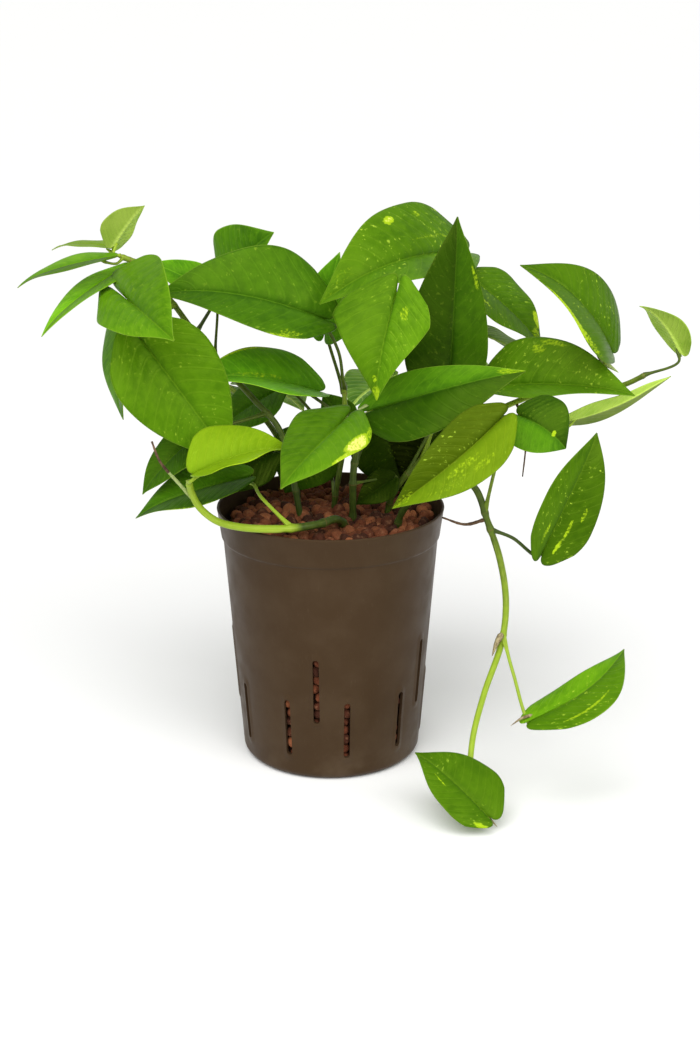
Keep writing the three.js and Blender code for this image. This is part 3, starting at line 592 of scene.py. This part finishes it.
def stem_finish(name, young, old):
    """Vines and petioles: smooth and green, streaked along them, with a brown ring at each node."""
    mat = Finish(name, young, roughness=0.42, tint=(0.9, 1, 0.6))
    cosine, sine, length = mat.parts(mat.field("stem_place"))
    age, node, seed = mat.parts(mat.field("stem_state"))
    drawn_out = mat.plus(mat.times(length, 0.08), seed)
    wrapped = mat.vector(mat.times(cosine, 3.0), mat.times(sine, 3.0), drawn_out)
    streaks = mat.noise(wrapped, 1.1, 3)
    mottled = mat.noise(mat.vector(cosine, sine, mat.plus(length, seed)), 0.18, 3)
    varied = mat.plus(age, mat.times(mottled, 0.4))
    mat.coat(mat.ramp(varied, 0.15, 1.2), old)
    youth = mat.ramp(age, 0.3, 1, 1, 0.15)
    pale = mat.times(mat.ramp(streaks, 0.5, 0.75, 0, 0.4), youth)
    mat.coat(pale, STEM_STREAK)
    mat.coat(mat.ramp(node, 0.55, 0.95, 0, 0.65), NODE_BROWN)
    return mat.done(Normal=mat.bump(streaks, 0.15, 0.5))


def dry_finish(name, dark, light, roughness):
    """Aerial roots and the papery sheaths at the nodes."""
    mat = Finish(name, dark, roughness=roughness, specular=0.2)
    position = mat.position()
    fibres = mat.noise(position, 900, 4, 0.7)
    varied = mat.plus(fibres, mat.noise(position, 160, 2))
    mat.coat(mat.ramp(varied, 0.75, 1.25), light)
    return mat.done(Normal=mat.bump(fibres, 0.3, 0.8))


def pot_finish():
    """Dark brown moulded plastic, satin, with fine scuffs and a little dust low down."""
    tint = (1, 0.76, 0.48)
    mat = Finish("pot_plastic", POT_BROWN, roughness=0.42, specular=0.14, tint=tint)
    position = mat.position()
    x, y, height = mat.parts(position)
    clouds = mat.noise(position, 28, 4, 0.6)
    mat.coat(mat.ramp(clouds, 0.35, 0.7), POT_BROWN_LIGHT)
    drawn_out = mat.vector(x, y, mat.times(height, 0.15))
    scuffs = mat.ramp(mat.noise(drawn_out, 700, 3, 0.65), 0.62, 0.75, 0, 0.12)
    mat.coat(scuffs, POT_SCUFF)
    dusty = mat.ramp(clouds, 0.4, 0.7)
    dust = mat.times(mat.ramp(height, 0.0, 0.03, 0.2, 0), dusty)
    mat.coat(dust, POT_DUST)
    roughness = mat.ramp(mat.noise(position, 60, 3), 0.3, 0.7, 0.36, 0.5)
    relief = mat.bump(mat.noise(position, 2400, 2), 0.04, 0.35)
    return mat.done(Roughness=roughness, Normal=relief)


def granule_finish():
    """Baked clay: each granule its own brick red or brown, with pits and dust."""
    mat = Finish("baked_clay", CLAY_DARK, roughness=0.88, specular=0.15)
    position = mat.position()
    tone = mat.field("tone", "Fac")
    mat.coat(mat.ramp(tone, 0.0, 0.5), CLAY_MID)
    mat.coat(mat.ramp(tone, 0.5, 1.0), CLAY_LIGHT)
    patches = mat.noise(position, 260, 4, 0.6)
    mat.coat(mat.ramp(patches, 0.52, 0.72, 0, 0.42), CLAY_DUST)
    pits = mat.cells(position, 900)
    mat.coat(mat.ramp(pits, 0.12, 0.3, 0.6, 0), CLAY_PIT)
    relief = mat.bump(pits, 0.5, 0.7)
    relief = mat.bump(mat.noise(position, 1500, 4), 0.25, 0.7, relief)
    return mat.done(Normal=relief)


# For each green: the upper side's shade, light and veins, and the lower side's shade and light.
GREENS = {
    "deep": ((0.0165, 0.064, 0.002), (0.048, 0.133, 0.003), (0.07, 0.17, 0.006),
             (0.05, 0.13, 0.01), (0.09, 0.19, 0.018)),
    "mid": ((0.037, 0.114, 0.002), (0.088, 0.208, 0.004), (0.12, 0.24, 0.008),
            (0.1, 0.22, 0.014), (0.16, 0.3, 0.028)),
    "lime": ((0.12, 0.23, 0.003), (0.2, 0.34, 0.006), (0.26, 0.38, 0.012),
             (0.21, 0.35, 0.03), (0.3, 0.44, 0.055)),
}
UPPER = {green: upper_side(f"leaf_{green}", *tones[:3]) for green, tones in GREENS.items()}
UNDER = {green: under_side(f"leaf_{green}_under", *tones[3:]) for green, tones in GREENS.items()}
STEM = stem_finish("stem", (0.26, 0.38, 0.02), (0.03, 0.052, 0.008))
DRY = {
    "root": dry_finish("dry_root", (0.05, 0.028, 0.016), (0.17, 0.1, 0.055), 0.85),
    "green": dry_finish("pale_green", (0.2, 0.27, 0.06), (0.42, 0.5, 0.2), 0.55),
    "sheath": dry_finish("dry_sheath", (0.12, 0.08, 0.035), (0.4, 0.34, 0.18), 0.7),
}
POT_PLASTIC = pot_finish()
BAKED_CLAY = granule_finish()

# ---------------- leaves

BLADE_ROWS = 64
BLADE_COLUMNS = 49
CROWDING = 1.25  # the larger, the closer the columns lie to the midrib
LAST_ROW = 0.994  # of the length
LOBE_ROUNDING = 0.1  # how far forward the corners beside the petiole are drawn, of the length
VEIN_SPACING = 0.085  # of the length, along the midrib
VEIN_SWEEP = 0.24  # how far forward a lateral vein runs on its way to the edge, of the length
EDGE_WAVE = 0.028  # of the width
TIP_DROOP = 0.035  # of the length
QUILTING = 0.11  # mm, of a blade that is QUILTED_WIDTH wide, as is VEIN_DEPTH
VEIN_DEPTH = 0.08
QUILTED_WIDTH = 60
GROOVE_DEPTH = 0.55  # of the midrib, above
KEEL_DEPTH = 1.1  # of the midrib, below
PETIOLE_RADIUS = 1.2
PETIOLE_SIDES = 16
SLIM_BELOW = 34  # blades narrower than this have a slimmer petiole


def half_width(leaf, s):
    """Half the blade's width at a place along it, without its lean to one side."""
    rear = 1 - NARROWING_AT_BASE * ((WIDEST_AT - s) / WIDEST_AT) ** 2
    past = np.clip((s - WIDEST_AT) / (1 - WIDEST_AT), 0, 1)
    front = (1 - past ** leaf["fullness"]) * (1 - TIP_TAPER * past**TIP_TAPER_LATENESS)
    return leaf["width"] / 2 * np.where(s < WIDEST_AT, rear, front)


def blade_axes(leaf):
    """The blade's length and its own axes: along the midrib, up out of it, and across."""
    midrib = leaf["tip"] - leaf["base"]
    length = np.linalg.norm(midrib)
    along = midrib / length
    up = unit(leaf["faces"] - along * (leaf["faces"] @ along))
    return length, along, up, np.cross(up, along)


def blade_surface(leaf, s, v):
    """Points of the blade's middle surface: s from base to tip, v from edge to edge."""
    length, along, up, across = blade_axes(leaf)
    tilt = math.radians(leaf["fold"])
    side = np.sign(v)
    outwards = np.abs(v) * half_width(leaf, s) * (1 - leaf["lean"] * side)
    arch = np.sin(LOBE_TURN * math.pi * np.abs(v) ** leaf["cleft"])
    back = leaf["lobes"] * arch * (1 - s) ** LOBE_FADE
    bow = length * 4 * s * (1 - s)
    beside = side * outwards * math.cos(tilt) + leaf["bend"] * bow
    lift = outwards * (math.sin(tilt) - EDGE_DROOP * np.abs(v)) + leaf["arch"] * bow
    points = leaf["base"] + along * (length * (s - back))[..., None]
    return points + across * beside[..., None] + up * lift[..., None]


def blade(leaf, seed):
    """A thin closed blade with a sunk midrib, faint quilting between its veins and a waved edge."""
    draw = np.random.default_rng(seed)
    length, _, up, _ = blade_axes(leaf)
    width = leaf["width"]
    u = np.linspace(-1, 1, BLADE_COLUMNS)
    columns = np.sign(u) * np.abs(u) ** CROWDING
    s, v = np.meshgrid(np.linspace(0, LAST_ROW, BLADE_ROWS), columns, indexing="ij")
    outer = np.abs(v)
    s = s + LOBE_ROUNDING * (1 - s) * outer**5
    middle = blade_surface(leaf, s, v)

    waves = draw.uniform(1.1, 2.0, 2)
    turns = draw.uniform(0, 2 * math.pi, 2)
    half = (v > 0) * 1
    wave = np.sin(2 * math.pi * s * waves[half] + turns[half])
    ripple = width * EDGE_WAVE * wave * outer**2.5 * (1 - s) ** 0.3
    droop = TIP_DROOP * length * np.clip((s - 0.7) / 0.3, 0, 1) ** 2
    middle = middle + up * (ripple - droop)[..., None]

    normal = unit(np.cross(np.gradient(middle, axis=0), np.gradient(middle, axis=1)))
    phase = (s - VEIN_SWEEP * outer**1.2 * (1 - 0.4 * s)) / VEIN_SPACING + 0.5 * half
    off_vein = np.abs(phase - np.round(phase))
    size = width / QUILTED_WIDTH
    fade = np.clip(1.3 * (1 - outer**4) * (1 - s**4), 0, 1) * size
    quilting = QUILTING * (1 - np.cos(2 * math.pi * phase)) - VEIN_DEPTH * hill(off_vein, 0.1)
    quilting = quilting * fade
    across = outer * half_width(leaf, s)
    rib = np.sqrt(np.clip(1 - s, 0, 1)) * min(size, 1.1)
    groove = GROOVE_DEPTH * hill(across, 0.9) * rib
    keel = KEEL_DEPTH * hill(across, 1.1) * rib
    thickness = BLADE_THICKNESS / 2 * (1 - 0.5 * outer**10)
    top = middle + normal * (thickness + quilting - groove)[..., None]
    bottom = middle - normal * (thickness - quilting + keel)[..., None]

    points = np.concatenate([top.reshape(-1, 3), bottom.reshape(-1, 3)])
    index = np.arange(s.size).reshape(s.shape)
    rim = np.concatenate([index[0, :-1], index[:-1, -1], index[-1, :0:-1], index[:0:-1, 0]])
    after = np.roll(rim, -1)
    upper = grid_faces(*s.shape)
    edge = np.stack([rim, after, after + s.size, rim + s.size], 1)
    faces = np.concatenate([upper, upper[:, ::-1] + s.size, edge])
    slots = np.repeat([0, 1, 0], [len(upper), len(upper), len(edge)])

    patch = np.zeros_like(s)
    for at_s, at_v, reach_s, reach_v, strength in leaf["patches"]:
        spot = 1 - ((s - at_s) / reach_s) ** 2 - ((v - at_v) / reach_v) ** 2
        patch = np.maximum(patch, strength * np.clip(1.5 * spot, 0, 1))
    from_edge = np.minimum((1 - outer) * half_width(leaf, s), s * length)
    # Painted light and shade: how much lighter or darker each half is painted, above and below.
    upper_painted_light, under_painted_light = (np.interp(v, (-0.04, 0.04), leaf[key]) for key in ("tones", "under"))
    fields = {
        "leaf_place": (np.sign(v) * across, s * length, np.full_like(s, seed * 53.0)),
        "leaf_lines": (phase, from_edge, patch),
        "leaf_look": (upper_painted_light, np.full_like(s, leaf["speckle"]), under_painted_light),
    }
    for name, values in fields.items():
        fields[name] = np.tile(np.stack(values, -1).reshape(-1, 3), (2, 1))
    return points, faces, slots, fields


def stem_fields(place, age, node, seed):
    """What the stems' finish reads at each point."""
    return {"stem_place": place, "stem_state": np.stack(np.broadcast_arrays(age, node, seed), 1)}


def petiole(leaf, seed):
    """The leaf's stalk: winged at its foot, channelled above, a little thicker under the blade."""
    _, along, up, _ = blade_axes(leaf)
    foot = point_at(ROUTES[leaf["vine"]], leaf["at"])
    below = leaf["base"] - (along + up) * PETIOLE_DIP
    seat = blade_surface(leaf, np.array(PETIOLE_END), np.array(0.0)) - up * 1.1
    route = smooth_route([foot, *leaf["via"], below, seat], 1.5)
    share = np.linspace(0, 1, len(route))[:, None]
    angles = angles_around(PETIOLE_SIDES)
    from_top = np.minimum(angles, 2 * math.pi - angles)
    stout = 0.8 if leaf["width"] < SLIM_BELOW else 1.0
    radius = PETIOLE_RADIUS + 0.8 * hill(share, 0.1) + 0.35 * hill(share - 0.86, 0.06)
    radius = radius * (1 - 0.5 * np.clip((share - 0.93) / 0.07, 0, 1))
    wings = 0.45 * hill(from_top - 0.7, 0.3) * np.clip(1 - share / 0.4, 0, 1)
    channel = 0.22 * hill(from_top, 0.45) * np.clip(share * 8, 0, 1)
    points, faces, place = tube(route, radius * (1 + wings - channel) * stout, up)
    fields = stem_fields(place, leaf["stalk"], 0.6 * hill(place[:, 2], 3), seed * 1.7)
    return points, faces, np.full(len(faces), 2), fields


def make_leaf(name, leaf, seed):
    made = mesh_object(
        f"foliage_{name}", *joined([blade(leaf, seed), petiole(leaf, seed)]),
        [UPPER[leaf["green"]], UNDER[leaf["green"]], STEM],
    )
    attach(made, "root")
    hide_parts(f"leaf_{name}")


# ---------------- vines

ROUTES = {name: smooth_route(vine["route"], 1.2) for name, vine in VINES.items()}
OLD_TO_YOUNG = ((0, 1.0), (0.4, 0.8), (1, 0.4))  # (place along the vine, age)
BARE_NODES = 26  # mm from one to the next, from the lowest leaf down
VINE_SIDES = 18
ROOT_SIDES = 10
SHEATH_SIDES = 12
SHEATH_HALF_THICKNESS = 0.3


def make_vine(name, vine, seed):
    """A vine with a swelling and a brown ring at each node, slimmer and younger towards its tip."""
    route = ROUTES[name]
    total = np.linalg.norm(route[1] - route[0]) * (len(route) - 1)
    feet = [leaf["at"] * total for leaf in LEAVES.values() if leaf["vine"] == name]
    nodes = np.array([*feet, *np.arange(min(feet) - BARE_NODES, 30, -BARE_NODES)])
    share = np.linspace(0, 1, len(route))
    length = share * total
    off = length[:, None] - nodes
    swelling = 0.2 * hill(off, 2).max(1) - 0.07 * hill(off - 5, 3).max(1)
    rounded = np.sqrt(np.clip((total - length) / 3, 0.02, 1))
    radii = vine["radius"] * (1.05 - 0.25 * share) * (1 + swelling) * rounded
    points, faces, place = tube(route, radii[:, None] * np.ones(VINE_SIDES), (1, 0, 0))
    at = np.clip(place[:, 2] / total, 0, 1)
    age = np.interp(at, *zip(*vine.get("ages", OLD_TO_YOUNG)))
    ring = np.interp(place[:, 2], length, hill(off, 0.9).max(1))
    parts = [(points, faces, np.zeros(len(faces)), stem_fields(place, age, ring, seed * 2.3))]
    parts += [aerial_root(*root) for on, *root in AERIAL_ROOTS if on == name]
    parts += [sheath(*scale) for on, *scale in SHEATHS if on == name]
    made = mesh_object(f"stem_{name}", *joined(parts), [STEM, *DRY.values()])
    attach(made, "root")
    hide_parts(f"vine_{name}")


def aerial_root(radius, green, route):
    """A thin crooked root that narrows to its end."""
    route = smooth_route(route, 1.0)
    share = np.linspace(0, 1, len(route))[:, None]
    length = share * len(route)
    knots = 1 + 0.12 * np.sin(length * 0.9) * np.sin(length * 0.37)
    radii = radius * (1.15 - 0.6 * share) * knots * np.ones(ROOT_SIDES)
    points, faces, place = tube(route, radii)
    along = place[faces[:, 0], 2] / place[-1, 2]
    return points, faces, np.where(along < green, STILL_GREEN, BARK), {}


def sheath(route, width, faces_way, slot):
    """A thin scale left at a node: widest near its foot and pointed at its end."""
    route = smooth_route(route, 0.8)
    share = np.linspace(0, 1, len(route))[:, None]
    angles = angles_around(SHEATH_SIDES)
    reach = width / 2 * np.sqrt(np.clip(share * 8, 0.1, 1)) * (1 - 0.92 * share**1.5)
    radii = 1 / np.hypot(np.cos(angles) / SHEATH_HALF_THICKNESS, np.sin(angles) / reach)
    points, faces, _ = tube(route, radii, faces_way)
    return points, faces, np.full(len(faces), slot), {}


# ---------------- pot

POT_SEGMENTS = 288
RIM_ROUNDING = 0.9
LIP_HEIGHT = 0.7  # how far the wall swells out round each slot
LIP_REACH = 2.6
CUTTER_REACH = 7  # how far the blocks that cut the slots stand out of the wall, on both sides


def wall_radius(height):
    return BASE_RADIUS + (BODY_TOP_RADIUS - BASE_RADIUS) * height / STEP_HEIGHT


def slots():
    """(angle in degrees from the front, lowest, highest) of each slot."""
    for row in (LOWER_SLOTS, UPPER_SLOTS):
        for i in range(row["count"]):
            yield row["first"] + i * row["step"], row["low"], row["high"]


def turned(profile, segments):
    """Points and faces of a profile that starts and ends on the axis, turned about Z."""
    rings = np.array(profile[1:-1])
    angles = angles_around(segments)
    x = rings[:, :1] * np.sin(angles)
    y = -rings[:, :1] * np.cos(angles)
    z = rings[:, 1:] * np.ones(segments)
    points = np.stack([x, y, z], -1).reshape(-1, 3)
    middles = [(0, 0, profile[0][1]), (0, 0, profile[-1][1])]
    return np.concatenate([points, middles]), capped_faces(len(rings), segments)


def pot_profile():
    """The wall's outside from the base up, over the rim, and down the inside to the floor."""
    corner = wall_radius(BASE_FILLET) - BASE_FILLET
    step = BODY_TOP_RADIUS + STEP_OUT
    return [
        (0, 0.8),
        (corner - 8, 0.8),
        (corner - 6, 0),
        *arc((corner, BASE_FILLET), BASE_FILLET, -90, 0, 8),
        *[(wall_radius(h), h) for h in np.arange(8, STEP_HEIGHT - 1.5, 1.6)],
        (BODY_TOP_RADIUS, STEP_HEIGHT - 1.2),
        (BODY_TOP_RADIUS + 0.15, STEP_HEIGHT - 0.4),
        (BODY_TOP_RADIUS + STEP_OUT * 0.6, STEP_HEIGHT + 0.2),
        (step, STEP_HEIGHT + 0.8),
        (step + 0.25, STEP_HEIGHT + 2),
        (RIM_RADIUS - 0.5, POT_HEIGHT - 3.2),
        (RIM_RADIUS - 0.3, POT_HEIGHT - 2.4),
        *arc((RIM_RADIUS - RIM_ROUNDING, POT_HEIGHT - RIM_ROUNDING), RIM_ROUNDING, 0, 180, 8),
        (step - WALL, STEP_HEIGHT + 1),
        *[(wall_radius(h) - WALL, h) for h in np.arange(STEP_HEIGHT - 2, 12, -8)],
        (corner - 2, FLOOR + 1),
        (corner - 8, FLOOR),
        (0, FLOOR),
    ]


def swell_round_slots(points):
    """Moves the outer wall out a little round each slot, as it is moulded."""
    x, y, z = points.T
    radius = np.hypot(x, y)
    angle = np.degrees(np.arctan2(x, -y))
    outer = (radius > wall_radius(z) - WALL / 2) & (z < STEP_HEIGHT - 2)
    rise = np.zeros(len(points))
    for at, low, high in slots():
        off = np.radians((angle - at + 180) % 360 - 180) * radius
        distance = np.hypot(off, np.maximum(np.maximum(low - z, z - high), 0))
        rise = np.maximum(rise, 1 - np.clip((distance - SLOT_WIDTH / 2) / LIP_REACH, 0, 1))
    rise = LIP_HEIGHT * rise**2 * (3 - 2 * rise) * outer
    points[:, :2] *= (1 + rise / np.maximum(radius, 1))[:, None]
    return points


def slot_cutters():
    """One mesh of round-ended blocks, each standing through the wall where a slot is."""
    made = bmesh.new()
    half = SLOT_WIDTH / 2
    for at, low, high in slots():
        outline = arc((0, high - half), half, 0, 180, 6) + arc((0, low + half), half, 180, 360, 6)
        sine, cosine = math.sin(math.radians(at)), math.cos(math.radians(at))
        middle = wall_radius((low + high) / 2)
        rings = []
        for depth in (middle - CUTTER_REACH, middle + CUTTER_REACH):
            rings.append([])
            for beside, height in outline:
                x = depth * sine + beside * cosine
                y = -depth * cosine + beside * sine
                rings[-1].append(made.verts.new((x * MM, y * MM, height * MM)))
        inner, outer = rings
        made.faces.new(inner)
        made.faces.new(outer[::-1])
        for i, corner in enumerate(inner):
            j = (i + 1) % len(inner)
            made.faces.new((inner[j], corner, outer[i], outer[j]))
    bmesh.ops.recalc_face_normals(made, faces=made.faces)
    mesh = bpy.data.meshes.new("slot_cutters")
    made.to_mesh(mesh)
    made.free()
    return new_object("slot_cutters", mesh)


def make_pot():
    points, faces = turned(pot_profile(), POT_SEGMENTS)
    points = swell_round_slots(points)
    pot = mesh_object("pot_shell", points, faces, np.zeros(len(faces)), {}, [POT_PLASTIC])
    cutter = slot_cutters()
    cut = pot.modifiers.new("slots", "BOOLEAN")
    cut.operation = "DIFFERENCE"
    cut.solver = "EXACT"
    cut.object = cutter
    graph = bpy.context.evaluated_depsgraph_get()
    pot.data = bpy.data.meshes.new_from_object(pot.evaluated_get(graph))
    pot.modifiers.clear()
    bpy.data.objects.remove(cutter)
    pot.data.name = "pot_shell"
    pot.data.shade_smooth()
    pot.data.set_sharp_from_angle(angle=math.radians(40))
    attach(pot, "root")
    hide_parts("pot")


# ---------------- clay granules

GRANULE_RADII = (3.6, 6.0)
GRANULE_SPACING = 8.6
GRANULE_SHAPES = 9
TOP_LAYERS = (FILL_HEIGHT - 9, FILL_HEIGHT - 3.5, FILL_HEIGHT + 0.5)
SLOT_GRANULE_RADII = (3.0, 4.4)
CORE_DEPTH = 8.0  # how far inside the wall the hidden filling keeps
CORE_TOP = FILL_HEIGHT - 11


def granule_shapes(draw):
    """A few lumpy granules of radius 1, as points, and the three-cornered faces of them all."""
    ball = bmesh.new()
    bmesh.ops.create_icosphere(ball, subdivisions=3, radius=1)
    points = np.array([v.co for v in ball.verts])
    faces = np.array([[v.index for v in face.verts] for face in ball.faces])
    ball.free()
    shapes = []
    for _ in range(GRANULE_SHAPES):
        lumps = unit(draw.normal(size=(7, 3)))
        heights = draw.uniform(-0.22, 0.2, 7)
        size = 1 + hill(1 - points @ lumps.T, 0.22) @ heights
        shapes.append(points * size[:, None] * draw.uniform(0.78, 1.12, 3))
    return shapes, faces


def granule_places(draw):
    """(place, radius, tone) of each granule: three layers at the top and a row behind each slot."""
    inner = BODY_TOP_RADIUS - WALL
    count = int(inner // GRANULE_SPACING) + 2
    for layer, height in enumerate(TOP_LAYERS):
        for row in range(-count, count + 1):
            for column in range(-count, count + 1):
                x = (column + 0.5 * (row % 2) + 0.33 * layer) * GRANULE_SPACING
                y = (row * 0.866 + 0.5 * layer) * GRANULE_SPACING
                x, y = np.array([x, y]) + draw.uniform(-1.7, 1.7, 2)
                radius = draw.uniform(*GRANULE_RADII)
                if math.hypot(x, y) + radius * 0.85 > inner:
                    continue
                z = height + draw.uniform(-1.6, 1.6)
                yield (x, y, z), radius, draw.uniform(0, 1)
    for at, low, high in slots():
        z = low - 4.0
        while z < high + 5:
            radius = draw.uniform(*SLOT_GRANULE_RADII)
            z += radius * 0.95
            depth = wall_radius(z) - WALL - radius * 0.9 + draw.uniform(-0.8, 0.4)
            turn = math.radians(at) + draw.uniform(-1.6, 1.6) / depth
            place = (depth * math.sin(turn), -depth * math.cos(turn), z)
            yield place, radius, draw.uniform(0.1, 1)
            z += radius * 0.95


def make_granules():
    draw = np.random.default_rng(11)
    shapes, faces = granule_shapes(draw)
    faces = np.concatenate([faces, faces[:, -1:]], 1)
    parts = []
    for i, (place, radius, tone) in enumerate(granule_places(draw)):
        turn, _ = np.linalg.qr(draw.normal(size=(3, 3)))
        if np.linalg.det(turn) < 0:
            turn = -turn
        points = shapes[i % GRANULE_SHAPES] @ turn.T * radius + place
        parts.append((points, faces, np.zeros(len(faces)), {"tone": np.full(len(points), tone)}))
    # The filling below the top layers has no tone field, so it takes the darkest clay: painted shade in
    # the gaps between the granules.
    core = [(0, FLOOR + 0.3), (BASE_RADIUS - CORE_DEPTH, FLOOR + 0.3)]
    core += [(wall_radius(h) - CORE_DEPTH, h) for h in (20, 60, 110, CORE_TOP)]
    points, faces = turned([*core, (0, CORE_TOP)], 64)
    parts.append((points, faces, np.zeros(len(faces)), {}))
    made = mesh_object("granules", *joined(parts), [BAKED_CLAY])
    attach(made, "root")
    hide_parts("clay_granules")


# ---------------- stage, light and camera

FLOOR_REACH = 60  # m
FLOOR_HEIGHT = -0.0003
FLOOR_CORNERS = ((-1, -1), (1, -1), (1, 1), (-1, 1))


def make_floor():
    mat = Finish("floor", (0.86, 0.86, 0.85), roughness=0.8)
    mesh = bpy.data.meshes.new("floor")
    points = [(x * FLOOR_REACH, y * FLOOR_REACH, FLOOR_HEIGHT) for x, y in FLOOR_CORNERS]
    mesh.from_pydata(points, [], [(0, 1, 2, 3)])
    mesh.materials.append(mat.done())
    new_object("floor", mesh)


def make_light():
    world = bpy.data.worlds.new("studio")
    bpy.context.scene.world = world
    world.use_nodes = True
    background = world.node_tree.nodes["Background"]
    background.inputs["Color"].default_value = (1, 1, 1, 1)
    background.inputs["Strength"].default_value = 0.5
    sun = bpy.data.lights.new("key", "SUN")
    sun.energy = 2.9
    sun.angle = math.radians(60)
    key = new_object("key", sun)
    key.rotation_euler = (math.radians(38), math.radians(-14), 0)
    panel = bpy.data.lights.new("fill", "AREA")
    panel.shape = "RECTANGLE"
    panel.size, panel.size_y = 0.9, 0.6
    panel.energy = 9
    fill = new_object("fill", panel)
    fill.location = (0.9, -1.0, 1.0)
    fill.rotation_euler = (math.radians(52), 0, math.radians(42))


def make_camera():
    lens = bpy.data.cameras.new("camera")
    lens.sensor_width = SENSOR
    lens.lens = SENSOR * FOCAL_LENGTH / PHOTO_HEIGHT
    camera = new_object("camera", lens)
    camera.location = CAMERA_AT
    camera.rotation_euler = (math.radians(90 - LOOKS_DOWN), 0, 0)
    bpy.context.scene.camera = camera


make_pot()
make_granules()
for number, (name, vine) in enumerate(VINES.items()):
    make_vine(name, vine, number + 1)
for number, (name, leaf) in enumerate(LEAVES.items()):
    make_leaf(name, leaf, number + 1)
make_floor()
make_light()
make_camera()
bpy.context.scene.view_settings.view_transform = "Standard"
